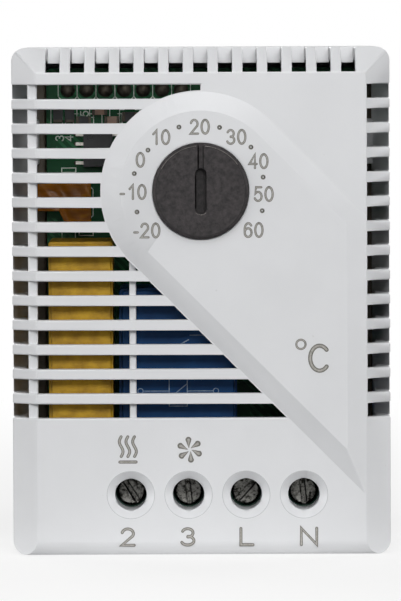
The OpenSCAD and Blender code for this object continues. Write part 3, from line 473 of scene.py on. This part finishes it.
# The dial's front land is set back by the height of the marks on it, so that they stay inside the part's box
DIAL_FACE_Y = dial_low.y + 0.02 * MM
spots = np.empty(len(dial_copy.data.vertices) * 3, dtype=np.float32)
dial_copy.data.vertices.foreach_get("co", spots)
spots[1::3] = np.where(spots[1::3] < dial_low.y + 0.01 * MM, DIAL_FACE_Y, spots[1::3])
dial_copy.data.vertices.foreach_set("co", spots)
dial_copy.data.update()
softened("terminal_block", "block_moulding", 0.1)
softened("relay_case", "relay_moulding", 0.25, spare=1.6)
softened("film_capacitor", "film_box", 0.15)
softened("control_chip", "chip_package", 0.08, spare=0.0)
for k in range(1, 5):
    softened(f"terminal_screw_{k}", f"screw_turned_{k}", 0.08, spare=0.0)


# The louvre slots, in millimetres: their pitch, where they end in Y, the wedges' backs just inside the wall there,
# the side wall's two faces, and the top wall's outer face and the lip under its inner one
SLOT_PITCH = 3.24
SLOT_END_Y, WEDGE_BACK_Y = -17.0, -16.9
SIDE_OUTER, SIDE_INNER = 24.99, 23.0
TOP_OUTER, TOP_LIP = 33.49, 31.4


def wedges(first, second):
    """Closed wedges between pairs of four-cornered ends: first and second hold one row of corners per wedge, and
    each corner of an end is joined to the same corner of the other."""
    shell = np.array([(0, 1, 2, 3), (4, 5, 6, 7), (0, 1, 5, 4), (1, 2, 6, 5), (2, 3, 7, 6), (3, 0, 4, 7)])
    points = np.concatenate([first, second], 1).reshape(-1, 3) * MM
    return points, (shell[None] + 8 * np.arange(len(first))[:, None, None]).reshape(-1, 4)


def side_slot_ends(count, first_z, slot, slope):
    """Wedge at the end of each side slot: in plan it runs from the wall's outer face, slope in front of the slot's
    end, back to the inner face at the end itself, and it is carried up the height of the slot, on both sides."""
    side = np.repeat([-1.0, 1.0], count)
    top = np.tile(first_z - SLOT_PITCH * np.arange(count), 2)[:, None, None]
    corners = ((SIDE_OUTER, SLOT_END_Y - slope), (SIDE_OUTER, WEDGE_BACK_Y), (SIDE_INNER, WEDGE_BACK_Y),
               (SIDE_INNER, SLOT_END_Y))
    plan = np.stack([np.stack([side * x, np.full_like(side, y)], -1) for x, y in corners], 1)
    level = np.zeros_like(plan[..., :1])
    return wedges(np.concatenate([plan, level + (top - slot)], -1), np.concatenate([plan, level + top], -1))


def top_slot_ends(count, slot, slope):
    """Wedge at the end of each top slot: seen from the side its ramp looks up and forwards, from the lip slope in
    front of the slot's end back to the end at the top, and it is carried across the width of the slot."""
    left = SLOT_PITCH * (np.arange(count) - (count - 1) / 2) - slot / 2
    profile = np.array([(SLOT_END_Y, TOP_OUTER), (WEDGE_BACK_Y, TOP_OUTER), (WEDGE_BACK_Y, TOP_LIP),
                        (SLOT_END_Y - slope, TOP_LIP)])
    first = np.zeros((count, 4, 3))
    first[..., 0], first[..., 1:] = left[:, None], profile
    return wedges(first, first + (slot, 0.0, 0.0))


from_arrays("slot_end_slopes", *side_slot_ends(count=14, first_z=28.63, slot=1.86, slope=6.5), "housing",
            cover_plastic, "cover_plastic", sharp=20.0)
from_arrays("top_slot_slopes", *top_slot_ends(count=13, slot=1.88, slope=0.8), "housing", cover_plastic,
            "cover_plastic", sharp=20.0)


def turned_ring(cx, cz, profile, steps=180):
    """Closed ring: a closed profile of (radius, depth) pairs in millimetres carried once round an axis along Y."""
    profile = np.asarray(profile)
    a = np.linspace(0, 2 * np.pi, steps, endpoint=False)[:, None]
    points = np.stack([cx + profile[:, 0] * np.cos(a), profile[:, 1] + 0 * a, cz + profile[:, 0] * np.sin(a)], -1)
    u, v = np.meshgrid(np.arange(steps), np.arange(len(profile)), indexing="ij")
    here, there, v_next = u * len(profile), (u + 1) % steps * len(profile), (v + 1) % len(profile)
    corners = [here + v, here + v_next, there + v_next, there + v]
    return points.reshape(-1, 3) * MM, np.stack(corners, -1).reshape(-1, 4)


# The plate's hole comes up to 0.03 mm from the dial in front, so that no dark gap shows round it
dial_lip = [(6.38, -31.5), (6.38, -31.9), (6.4, -31.95), (6.44, -31.98), (6.53, -31.98), (6.53, -31.5)]
from_arrays("dial_hole_lip", *turned_ring(dial_x, dial_z, dial_lip), "housing", cover_plastic, "cover_plastic")


def board_ledges(inner, outer, front, back, low, high, radius=0.4, cut_x=1.2, cut_y=1.5, steps=6):
    """Pair of closed ledges that carry the board's edges: a plan outline, its front inner corner rounded along a
    quarter circle and its back inner corner cut off slantwise, is carried up from low to high beside each side wall,
    and its ends are closed."""
    a = np.radians(np.linspace(180, 90, steps))
    corner = np.stack([inner + radius + radius * np.cos(a), front + radius - radius * np.sin(a)], -1)
    plan = np.vstack([[(outer, back), (inner + cut_x, back), (inner, back - cut_y)], corner, [(outer, front)]])
    n = len(plan)
    level = np.broadcast_to(np.array([low, high], float)[:, None, None], (2, n, 1))
    rows = np.concatenate([np.broadcast_to(plan[None], (2, n, 2)), level], 2)
    points = np.concatenate([rows.reshape(-1, 3), rows.reshape(-1, 3) * (-1, 1, 1)]) * MM
    faces = quads(2, n, wrap=True).tolist()
    faces += [list(range(n)), list(range(n, 2 * n))]
    return points, faces + [[i + 2 * n for i in face] for face in faces]


LEDGE_GAP = 0.08
ledges = board_ledges(board_high.x / MM + LEDGE_GAP, SIDE_INNER, front=-9.9, back=-3.0, low=-29.0, high=30.5)
# The ledges take the dark plastic of painted shade
from_arrays("board_ledges", *ledges, "housing", ledge_painted_shade, "base_plastic", sharp=30.0)


# Marks: ribbons carried along strokes
def arc(cx, cz, rx, rz, a0, a1, n=22):
    """Points on an ellipse about (cx, cz) from angle a0 to a1 in degrees, at equal steps of angle."""
    a = np.radians(np.linspace(a0, a1, n))
    return np.stack([cx + rx * np.cos(a), cz + rz * np.sin(a)], -1)


def line(*points):
    """Straight strokes from point to point."""
    return np.array(points, float)


# Strokes of each glyph in a unit square, from its lower left corner
GLYPHS = {
    "0": [arc(0.5, 0.5, 0.5, 0.5, 90, 450, 40)],
    "1": [line((0.29, 0.72), (0.74, 1.0), (0.74, 0.0))],
    "2": [np.vstack([arc(0.48, 0.71, 0.46, 0.29, 168, -32), line((0.0, 0.0), (1.0, 0.0))])],
    "3": [arc(0.46, 0.745, 0.43, 0.255, 158, -88), arc(0.46, 0.265, 0.5, 0.265, 88, -158)],
    "4": [line((0.76, 0.0), (0.76, 1.0), (0.0, 0.3), (1.0, 0.3))],
    "5": [np.vstack([line((0.92, 1.0), (0.2, 1.0), (0.09, 0.53)), arc(0.47, 0.33, 0.49, 0.33, 128, -155)])],
    "6": [arc(0.5, 0.315, 0.47, 0.315, 0, 360, 34),
          np.vstack([arc(0.53, 0.56, 0.5, 0.44, 38, 180), line((0.03, 0.33))])],
    "-": [line((0.0, 0.36), (1.0, 0.36))],
    "C": [arc(0.52, 0.5, 0.52, 0.5, 42, 318, 36)],
    "L": [line((0.0, 1.0), (0.0, 0.0), (1.0, 0.0))],
    "N": [line((0.0, 0.0), (0.0, 1.0), (1.0, 0.0), (1.0, 1.0))],
}


def ribbon(path, half, base_y, rise, offset):
    """Flat band carried along a path in X and Z: at each point it reaches half to both sides of the path,
    measured across the bisector of its bends, and its ends are drawn in along a quarter circle, so that they
    close in a half round. It stands rise in front of the plane base_y and starts offset behind it."""
    path = np.asarray(path, float)
    half = np.broadcast_to(np.asarray(half, float), (len(path),)).copy()
    step = np.diff(path, axis=0)
    step /= np.linalg.norm(step, axis=1, keepdims=True)
    before = np.vstack([step[:1], step])
    after = np.vstack([step, step[-1:]])
    tangent = before + after
    tangent /= np.linalg.norm(tangent, axis=1, keepdims=True)
    stretch = 1 / np.clip(np.sqrt((1 + (before * after).sum(1)) / 2), 0.45, 1)
    turn = np.radians([88, 66, 44, 22])
    lead = path[0] - np.outer(np.sin(turn) * half[0], tangent[0])
    tail = path[-1] + np.outer(np.sin(turn[::-1]) * half[-1], tangent[-1])
    spine = np.vstack([lead, path, tail])
    reach = np.concatenate([np.cos(turn) * half[0], half * stretch, np.cos(turn[::-1]) * half[-1]])
    along = np.vstack([np.repeat(tangent[:1], 4, 0), tangent, np.repeat(tangent[-1:], 4, 0)])
    side = np.stack([-along[:, 1], along[:, 0]], -1) * reach[:, None]
    left, right = spine + side, spine - side
    front, back = base_y - rise, base_y + offset
    ring = [np.stack([p[:, 0], np.full(len(p), y), p[:, 1]], -1)
            for p, y in ((left, back), (left, front), (right, front), (right, back))]
    grid = np.stack(ring, 1)
    n = len(spine)
    ends = np.array([[0, 1, 2, 3], [4 * n - 1, 4 * n - 2, 4 * n - 3, 4 * n - 4]])
    return grid.reshape(-1, 3), np.vstack([quads(n, 4, wrap=True), ends])


def marks(name, strokes, base_y, material, slot, body="housing", rise_mm=0.02):
    """One piece from many (path, half width) strokes in millimetres, which start a little behind base_y. Each of
    five strokes in turn stands a hair prouder than the one before, so that two that cross share no plane."""
    hair_mm, depth_mm = 0.0015, 0.05
    points, faces, count = [], [], 0
    for k, (path, half) in enumerate(strokes):
        p, f = ribbon(np.asarray(path) * MM, np.asarray(half) * MM, base_y, (rise_mm + hair_mm * (k % 5)) * MM,
                      depth_mm * MM)
        points.append(p)
        faces.append(f + count)
        count += len(p)
    return from_arrays(name, np.vstack(points), np.vstack(faces), body, material, slot, sharp=50.0)


def word(text, cx, cz, height, stroke, digit, gap, turn=0.0):
    """Strokes of a line of glyphs whose ink is centred on (cx, cz): unit glyphs are scaled to digit by height, set
    side by side with gap between them and turned about the centre by turn degrees. A minus is narrower."""
    widths = [0.6 * digit if c == "-" else digit for c in text]
    x, paths = 0.0, []
    for c, w in zip(text, widths):
        paths += [path * (w - stroke, height - stroke) + (x, (stroke - height) / 2) for path in GLYPHS[c]]
        x += w + gap
    ink = np.vstack(paths)[:, 0]
    cos, sin = math.cos(math.radians(turn)), math.sin(math.radians(turn))
    strokes = []
    for path in paths:
        px, pz = path[:, 0] - (ink.min() + ink.max()) / 2, path[:, 1]
        strokes.append((np.stack([cx + px * cos - pz * sin, cz + px * sin + pz * cos], -1), stroke / 2))
    return strokes


def printed(name, strokes, base_y):
    """Mark in two layers: the darker outline, and on it a paler core a little under half as wide."""
    core = 0.45
    marks(name, strokes, base_y, mark_ink, "cover_plastic")
    marks(name + "_core", [(path, np.asarray(half) * core) for path, half in strokes], base_y, mark_core,
          "cover_plastic", rise_mm=0.03)


# The scale: each number's middle and each dot's, from the dial's middle
numbers = [("-20", -7.13, -5.14), ("-10", -8.92, -0.07), ("0", -7.94, 4.16), ("10", -5.17, 7.13), ("20", -0.1, 8.48),
           ("30", 4.70, 7.13), ("40", 7.60, 3.92), ("50", 8.28, -0.41), ("60", 6.93, -5.14)]
scale_strokes = []
for text, x, z in numbers:
    scale_strokes += word(text, dial_x + x, dial_z + z, height=2.1, stroke=0.3, digit=1.25, gap=0.17)
printed("scale_numbers", scale_strokes, PLATE_Y)

ring_dots = [(-2.84, 8.45), (2.5, 8.38), (-6.93, 5.44), (6.62, 5.78), (-8.75, 2.36), (8.21, 1.82), (-8.41, -2.70),
             (8.07, -2.60)]
marks("scale_dots", [(arc(dial_x + x, dial_z + z, 0.2, 0.2, 0, 360, 18), 0.12) for x, z in ring_dots],
      PLATE_Y, mark_ink, "cover_plastic")
printed("degree_mark", [(arc(13.1, -5.63, 0.61, 0.61, 0, 360, 30), 0.14)]
        + word("C", 15.4, -7.46, height=3.85, stroke=0.56, digit=2.94, gap=0.0), PLATE_Y)


def dial_marks(name, strokes, base_y, material, rise_mm):
    """Marks that turn with the dial."""
    marks(name, strokes, base_y, material, "dial_plastic", body="adjuster", rise_mm=rise_mm)


# Fine lines on the dial's front: painted shade inside its rim, painted highlights on the rim's upper edge with a pale
# arc rubbed below the slot, and painted shade in the corners of the floors of its groove and its slot
RIM_SHADE_R, RIM_HIGHLIGHT_R = 5.9, 5.98
GROOVE_SIDES, GROOVE_FLOOR = (-0.32, 0.32), 0.45 * MM
SLOT_SIDES, SLOT_FLOOR = (-0.68, 0.68), 1.5 * MM
# Painted shade: a dark line inside the rim, broken at the groove
dial_marks("dial_rim_shade_line", [(arc(dial_x, dial_z, RIM_SHADE_R, RIM_SHADE_R, 97, 443, 120), 0.045)], DIAL_FACE_Y,
           painted_line_shade, 0.002)
# Painted highlight: two pale arcs on the rim's upper edge; the third arc, below the slot, is a driver's rubbing
highlight_and_rubbed = [(arc(dial_x, dial_z, RIM_HIGHLIGHT_R, RIM_HIGHLIGHT_R, 36, 84, 30), 0.03),
          (arc(dial_x, dial_z, RIM_HIGHLIGHT_R, RIM_HIGHLIGHT_R, 96, 150, 34), 0.025),
          (arc(dial_x, dial_z - 2.26, 0.9, 0.84, 222, 318, 20), 0.035)]
dial_marks("dial_rim_highlight_and_wear", highlight_and_rubbed, DIAL_FACE_Y, rim_highlight_and_wear, 0.005)
# Painted shade along both sides of the groove's floor
groove = [(line((dial_x + x, dial_z + 3.05), (dial_x + x, dial_z + 5.9)), 0.08) for x in GROOVE_SIDES]
dial_marks("pointer_groove_shade", groove, dial_low.y + GROOVE_FLOOR, painted_line_shade, 0.0)
# Painted shade along both sides of the slot's floor and round its upper end
driver_slot = [(line((dial_x + x, dial_z - 2.2), (dial_x + x, dial_z + 2.2)), 0.09) for x in SLOT_SIDES]
driver_slot.append((arc(dial_x, dial_z + 2.2, 0.6, 0.6, 8, 172, 20), 0.2))
dial_marks("driver_slot_shade", driver_slot, dial_low.y + SLOT_FLOOR, painted_line_shade, 0.0)

# Painted shade: a dark ring round each well along the witness line
WITNESS_R = 3.14
marks("well_witness_painted_shade", [(arc(x, z, WITNESS_R, WITNESS_R, 0, 360, 90), 0.03) for x, z in screw_places], FACE_Y,
      witness_shade, "cover_plastic", rise_mm=0.002)

# Painted shade in the corners of the floors of the screws' slots, each turned as its screw is, in degrees from upright
SCREW_TURNS = (-32, -6, 42, -6)
SCREW_SLOT_HALF, SCREW_SLOT_REACH, SCREW_SLOT_FLOOR = 0.33, 1.72, 0.9 * MM
for k, (place, turn) in enumerate(zip(np.array(screw_places), np.radians(SCREW_TURNS)), 1):
    along, across = np.array([math.sin(turn), math.cos(turn)]), np.array([math.cos(turn), -math.sin(turn)])
    sides = [place + SCREW_SLOT_HALF * side * across for side in (-1, 1)]
    edges = [(line(side - SCREW_SLOT_REACH * along, side + SCREW_SLOT_REACH * along), 0.1) for side in sides]
    marks(f"screw_slot_shade_{k}", edges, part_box(f"terminal_screw_{k}")[0].y + SCREW_SLOT_FLOOR, painted_line_shade,
          "screw_steel", body=f"screw_{k}", rise_mm=0.0)

# Terminal marks: glyph, middle and width
terminal_strokes = []
for text, x, width in (("2", -9.8, 2.02), ("3", -1.9, 2.06), ("L", 5.9, 1.98), ("N", 14.1, 2.43)):
    terminal_strokes += word(text, x, -31.06, height=2.56, stroke=0.4, digit=width, gap=0.0)
printed("terminal_numbers", terminal_strokes, FACE_Y)

# Heat: three waves over a bar; fan: six petals that widen outwards and lean round
climb = np.linspace(0, 1, 26)
heat = [(np.stack([x + 0.24 * np.sin(2 * np.pi * climb), -20.4 + 2.6 * climb], -1), 0.2)
        for x in (-10.65, -9.77, -8.89)]
heat.append((line((-10.82, -21.13), (-8.69, -21.13)), 0.21))
printed("heat_mark", heat, FACE_Y)

petal = np.linspace(0, 1, 16)
petals = []
for k in range(6):
    a = np.radians(97 + 60 * k + 12 * (1 - petal) ** 2)
    r = 0.3 + 1.02 * petal
    petals.append((np.stack([-1.61 + r * np.cos(a), -19.54 + r * np.sin(a)], -1), 0.05 + 0.35 * petal ** 1.1))
printed("fan_mark", petals, FACE_Y)

# Legend and small parts on the board; round each soldered pin the legend has an eight-cornered cell
FIRST_PIN_X, PIN_PITCH = -17.85, 2.54
cell = line((-1.27, -0.9), (-0.75, -1.5), (0.75, -1.5), (1.27, -0.9), (1.27, 0.9), (0.75, 1.5), (-0.75, 1.5),
            (-1.27, 0.9), (-1.27, -0.9))
legend = [(cell + (FIRST_PIN_X + PIN_PITCH * k, pin_z), 0.055) for k in range(7)]


def frame_strokes(x0, z0, x1, z1, half=0.06):
    """Rectangle drawn as one closed stroke."""
    return (line((x0, z0), (x1, z0), (x1, z1), (x0, z1), (x0, z0)), half)


def brackets(x0, z0, x1, z1, arm=0.6, half=0.06):
    """The two square brackets that stand round a chip part."""
    return [(line((x0 + arm, z1), (x0, z1), (x0, z0), (x0 + arm, z0)), half),
            (line((x1 - arm, z1), (x1, z1), (x1, z0), (x1 - arm, z0)), half)]


def part_boxes(node, count):
    """Lowest and highest corners of each of a node's solids, whose triangles follow one after another."""
    co = np.zeros(len(frame["nodes"][node].data.vertices) * 3, np.float32)
    frame["nodes"][node].data.vertices.foreach_get("co", co)
    each = co.reshape(count, -1, 3)
    return each.min(1), each.max(1)


BRACKET_GAP = 0.35
part_low, part_high = np.hstack([part_boxes("chip_resistors", 9), part_boxes("chip_capacitors", 3)])
for low, high in zip(part_low / MM, part_high / MM):
    legend += brackets(low[0] - BRACKET_GAP, low[2] - BRACKET_GAP, high[0] + BRACKET_GAP, high[2] + BRACKET_GAP)
for text, x, z in (("5", -15.6, 24.6), ("3", -18.95, 21.3), ("4", -17.7, 21.3)):
    legend += word(text, x, z, height=1.2, stroke=0.16, digit=0.8, gap=0.0, turn=90)
for corners in ((-18.7, 16.7, -16.8, 17.3), (-18.7, 7.5, -16.9, 8.7), (-16.4, 8.2, -14.5, 9.4)):
    legend.append(frame_strokes(*corners))
legend.append((line((-18.9, 9.4), (-16.0, 9.4), (-14.5, 10.9), (-14.5, 14.4), (-16.0, 15.9), (-18.9, 15.9)), 0.06))
marks("board_legend", legend, BOARD_Y, legend_ink, "board_laminate", rise_mm=0.015)


def rounded_blocks(low, high, power=0.22, rows=13, columns=24):
    """Closed blocks with rounded edges: a sphere's grid of latitude and longitude whose cosines and sines are
    raised to a small power with their sign kept, which swells it towards the corners of the box from low to high."""
    lat = np.linspace(-np.pi / 2, np.pi / 2, rows)
    lon = np.linspace(0, 2 * np.pi, columns, endpoint=False)
    lat, lon = np.meshgrid(lat, lon, indexing="ij")

    def swell(v):
        return np.sign(v) * np.abs(v) ** power
    unit = np.stack([swell(np.cos(lat)) * swell(np.cos(lon)), swell(np.sin(lat)),
                     swell(np.cos(lat)) * swell(np.sin(lon))], -1).reshape(1, -1, 3)
    centre, half = (low + high)[:, None] / 2, (high - low)[:, None] / 2
    points = centre + unit * half
    faces = quads(rows, columns, wrap=True)
    shift = (np.arange(len(low)) * rows * columns)[:, None, None]
    return points.reshape(-1, 3), (faces[None] + shift).reshape(-1, 4)


# Tinned ends of the chip parts: each cap wraps its part's end by a hair, along the part's longer side
CAP_PROUD, CAP_LENGTH = 0.03 * MM, 0.42 * MM
longer = np.where((part_high - part_low)[:, 2] > (part_high - part_low)[:, 0], 2, 0)
each = np.arange(len(longer))
cap_low, cap_high = [], []
for far_end in (False, True):
    low, high = part_low - CAP_PROUD, part_high + CAP_PROUD
    high[:, 1] = part_high[:, 1]
    if far_end:
        low[each, longer] = high[each, longer] - CAP_LENGTH
    else:
        high[each, longer] = low[each, longer] + CAP_LENGTH
    cap_low.append(low)
    cap_high.append(high)
from_arrays("chip_end_caps", *rounded_blocks(np.vstack(cap_low), np.vstack(cap_high)), "housing", solder,
            "solder", sharp=60.0)


def mounds(centres, radius_x, radius_z, height, rings=7, columns=18):
    """Closed solder mounds: each is turned about its middle, its height falls off as the cosine of the distance from
    its top to the board, its two radii stretch it, and a flat face closes it below."""
    t = np.linspace(0, 1, rings)[:, None]
    a = np.linspace(0, 2 * np.pi, columns, endpoint=False)[None]
    x = t * np.cos(a) * radius_x
    z = t * np.sin(a) * radius_z
    y = -height * np.cos(t * np.pi / 2) + 0 * a
    unit = np.stack([x, y, z], -1).reshape(1, -1, 3)
    centres = np.asarray(centres, float)
    points = centres[:, None] + unit
    faces = quads(rings, columns, wrap=True)
    shift = (np.arange(len(centres)) * rings * columns)[:, None, None]
    foot = np.arange((rings - 1) * columns, rings * columns)
    feet = [(foot + k * rings * columns).tolist() for k in range(len(centres))]
    return points.reshape(-1, 3), (faces[None] + shift).reshape(-1, 4).tolist() + feet


# The chip's leads: half its body's width, their reach beyond it and their pitch, in millimetres
CHIP_HALF, LEAD_REACH, LEAD_PITCH = 1.95, 0.9, 1.27
chip_x = (chip_low.x + chip_high.x) / 2
chip_z = (chip_low.z + chip_high.z) / 2
lead_ends = [(chip_x + side * (CHIP_HALF + LEAD_REACH) * MM, BOARD_Y, chip_z + (k - 1.5) * LEAD_PITCH * MM)
             for side in (-1, 1) for k in range(4)]
from_arrays("chip_solder", *mounds(lead_ends, 0.42 * MM, 0.3 * MM, 0.14 * MM), "housing", solder, "solder",
            sharp=180.0)


# Amber strip over the sensor
def film_strip():
    """Thin sheet over x and z: it runs from the wall to its right end, its lower edge climbs by a slant of two in
    one to the left of its foot, and it ripples off its plane by the sum of three slow waves."""
    rows, columns = 60, 40
    foot_width, cut_height, off_board, sway_mm = 3.0 * MM, 2.6 * MM, 0.12 * MM, 0.55
    u = np.linspace(0, 1, rows)[:, None]
    v = np.linspace(0, 1, columns)[None]
    x = tape_low.x + u * (tape_high.x - tape_low.x)
    lower = tape_low.z + np.clip((tape_high.x - foot_width - x) * 2, 0, cut_height)
    z = lower + v * (tape_high.z - lower)
    wave = 0.10 * np.sin(2 * np.pi * (2.2 * u + 0.4 * v)) + 0.07 * np.sin(2 * np.pi * (0.7 * u - 1.6 * v) + 1.1)
    wave = wave + 0.05 * np.sin(2 * np.pi * (4.1 * u + 2.3 * v) + 0.6)
    y = tape_low.y + off_board + wave * sway_mm * MM + 0 * z
    grid = np.stack([x + 0 * z, y, z], -1)
    return grid.reshape(-1, 3), quads(rows, columns)


FILM_THICK = 0.09 * MM
strip = from_arrays("amber_strip", *film_strip(), "housing", amber_film, "amber_film")
wall = strip.modifiers.new("thickness", "SOLIDIFY")
wall.thickness = FILM_THICK
wall.offset = 0.0
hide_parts("sensor_tape")


# Latch spring
def coil(low, high, x, y, radius, wire, turns=6, per_turn=28, sides=10):
    """Round wire carried along a helix: the first and last turns lie closed, one wire apart, and the free turns
    between them rise evenly. The ends are closed with a flat disc."""
    t = np.linspace(0, turns, turns * per_turn + 1)
    closed = 2 * wire
    free = high - low - 2 * closed - 2 * wire
    rise = np.where(t < 1, closed * t, np.where(t > turns - 1, closed + free + closed * (t - turns + 1),
                                                closed + free * (t - 1) / (turns - 2)))
    a = 2 * np.pi * t
    b = np.linspace(0, 2 * np.pi, sides, endpoint=False)
    r = radius + wire * np.cos(b)[None]
    grid = np.stack([x + r * np.cos(a)[:, None], y + r * np.sin(a)[:, None],
                     low + wire + rise[:, None] + wire * np.sin(b)[None]], -1)
    n = len(t)
    ends = [list(range(sides)), list(range((n - 1) * sides, n * sides))]
    return grid.reshape(-1, 3), quads(n, sides, wrap=True).tolist() + ends


WIRE_R, LATCH_TRAVEL = 0.25 * MM, 2.5 * MM
winding = coil(spring_low.z, spring_high.z, (spring_low.x + spring_high.x) / 2, (spring_low.y + spring_high.y) / 2,
               (spring_high.x - spring_low.x) / 2 - WIRE_R, WIRE_R)
spring = from_arrays("spring_coil", *winding, "housing", spring_steel, "spring_steel", sharp=50.0)
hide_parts("latch_spring")
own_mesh(spring)

# Diagram printed on the relay: a coil's box with its slash, a changeover contact and five terminal rings, placed
# from the relay's middle
wires = [((-1.2, -5.2), (1.2, -3.2)), ((1.2, -4.2), (4.6, -4.2)), ((-4.6, -4.2), (-1.2, -4.2)),
         ((-4.6, 1.0), (-1.6, 1.0), (1.4, 2.6)), ((1.6, 1.0), (4.6, 1.0)), ((1.6, 3.2), (4.6, 3.2))]
rings = [(5.0, 1.0), (5.0, 3.2), (-5.0, 1.0), (5.0, -4.2), (-5.0, -4.2)]
diagram = [frame_strokes(relay_x - 1.2, relay_z - 6.2, relay_x + 1.2, relay_z - 2.2, 0.07)]
diagram += [(line(*wire) + (relay_x, relay_z), 0.07) for wire in wires]
diagram += [(arc(relay_x + x, relay_z + z, 0.35, 0.35, 0, 360, 20), 0.06) for x, z in rings]
marks("relay_diagram", diagram, relay_low.y, pad_ink, "relay_plastic", rise_mm=0.012)


# Floor, world and light
def seen_directly(tree):
    """The light path's node, and 1 for the rays by which the camera, a gloss or a clear body sees a surface."""
    rays = add(tree, "ShaderNodeLightPath")
    seen = rays.outputs["Is Camera Ray"]
    for kind in ("Is Glossy Ray", "Is Transmission Ray"):
        either = add(tree, "ShaderNodeMath", links={0: seen, 1: rays.outputs[kind]}, operation="MAXIMUM")
        seen = either.outputs["Value"]
    return rays, seen


def studio_paper():
    """White paper whose look changes with the distance from the housing's middle. It is seen as plain white far off
    and takes the housing's shadow near it. In the light that it sends back to the housing, it glows softly right
    under the foot, keeps its own colour around that and is grey further out, so that the chamfers stay shaded."""
    material = bpy.data.materials.new("studio_paper_white")
    material.use_nodes = True
    tree = material.node_tree
    tree.nodes.clear()
    out = add(tree, "ShaderNodeOutputMaterial")
    glow = add(tree, "ShaderNodeEmission", {"Color": (1.0, 1.0, 1.0, 1.0), "Strength": 1.0})
    rays, seen = seen_directly(tree)
    coords = add(tree, "ShaderNodeTexCoord").outputs["Object"]
    away = add(tree, "ShaderNodeVectorMath", links={0: coords}, operation="LENGTH").outputs["Value"]

    def zone(start, end, first=0.0, last=1.0):
        """Share that goes from first to last between two distances in metres."""
        return add(tree, "ShaderNodeMapRange", {"From Min": start, "From Max": end, "To Min": first, "To Max": last},
                   {"Value": away}).outputs["Result"]

    def times(one, other):
        return add(tree, "ShaderNodeMath", links={0: one, 1: other}, operation="MULTIPLY").outputs["Value"]
    grey = times(rays.outputs["Is Diffuse Ray"], zone(0.042, 0.07))
    tone = add(tree, "ShaderNodeMix", {6: linear("#f4f4f3"), 7: linear("#454547")}, {0: grey}, data_type="RGBA")
    paper = add(tree, "ShaderNodeBsdfDiffuse", links={"Color": tone.outputs[2]})
    plain = times(seen, zone(0.06, 0.35, 0.72, 1.0))
    under = times(rays.outputs["Is Diffuse Ray"], zone(0.044, 0.056, 0.5, 0.0))
    share = add(tree, "ShaderNodeMath", links={0: plain, 1: under}, operation="MAXIMUM")
    mix = add(tree, "ShaderNodeMixShader", links={0: share.outputs["Value"], 1: paper.outputs["BSDF"],
                                                  2: glow.outputs["Emission"]})
    tree.links.new(mix.outputs["Shader"], out.inputs["Surface"])
    return material


# Level square of 6 m, a hair under the housing's foot
FLOOR_HALF, FLOOR_Z = 3.0, cover_low.z - 0.05 * MM
floor_x, floor_y = np.meshgrid([-FLOOR_HALF, FLOOR_HALF], [-FLOOR_HALF, FLOOR_HALF])
floor_points = np.stack([floor_x, floor_y, np.full_like(floor_x, FLOOR_Z)], -1).reshape(-1, 3)
floor_mesh = bpy.data.meshes.new("studio_floor")
floor_mesh.from_pydata(floor_points.tolist(), [], quads(2, 2).tolist())
floor_mesh.materials.append(studio_paper())
linked("studio_floor", floor_mesh)

# The world is white to the eye and gives almost no light, so that the lamps alone shade the housing
world = bpy.data.worlds.new("studio")
scene.world = world
world.use_nodes = True
tree = world.node_tree
tree.nodes.clear()
out = add(tree, "ShaderNodeOutputWorld")
seen = seen_directly(tree)[1]
soft = add(tree, "ShaderNodeBackground", {"Color": linear("#ffffff"), "Strength": 0.02})
white = add(tree, "ShaderNodeBackground", {"Color": linear("#ffffff"), "Strength": 1.0})
mix = add(tree, "ShaderNodeMixShader", links={0: seen, 1: soft.outputs["Background"], 2: white.outputs["Background"]})
tree.links.new(mix.outputs["Shader"], out.inputs["Surface"])


HOUSING_MIDDLE = (0.0, -0.02, 0.0)


def softbox(name, place, size, watts):
    """Rectangular lamp of the given width and height at a place, turned to the housing's middle."""
    data = bpy.data.lights.new(name, "AREA")
    data.shape = "RECTANGLE"
    data.size, data.size_y = size
    data.energy = watts
    obj = linked(name, data)
    obj.location = place
    look_at(obj, HOUSING_MIDDLE)


# One lamp in front and above, one low at each side for the chamfers and the slots, one over the top wall, and two
# behind, which the front never sees
softbox("front_softbox", (0.12, -1.0, 0.34), (0.5, 0.22), 5.7)
softbox("left_softbox", (-0.98, -0.36, 0.08), (0.6, 0.3), 4.5)
softbox("right_softbox", (1.08, -0.36, 0.06), (0.5, 0.3), 3.8)
softbox("top_softbox", (0.0, -0.35, 0.5), (0.5, 0.3), 1.45)
softbox("back_softbox", (-0.5, 1.0, 0.5), (0.6, 0.6), 6.0)
softbox("far_softbox", (0.6, 0.95, 0.35), (0.5, 0.5), 4.0)

scene.view_settings.view_transform = "Standard"
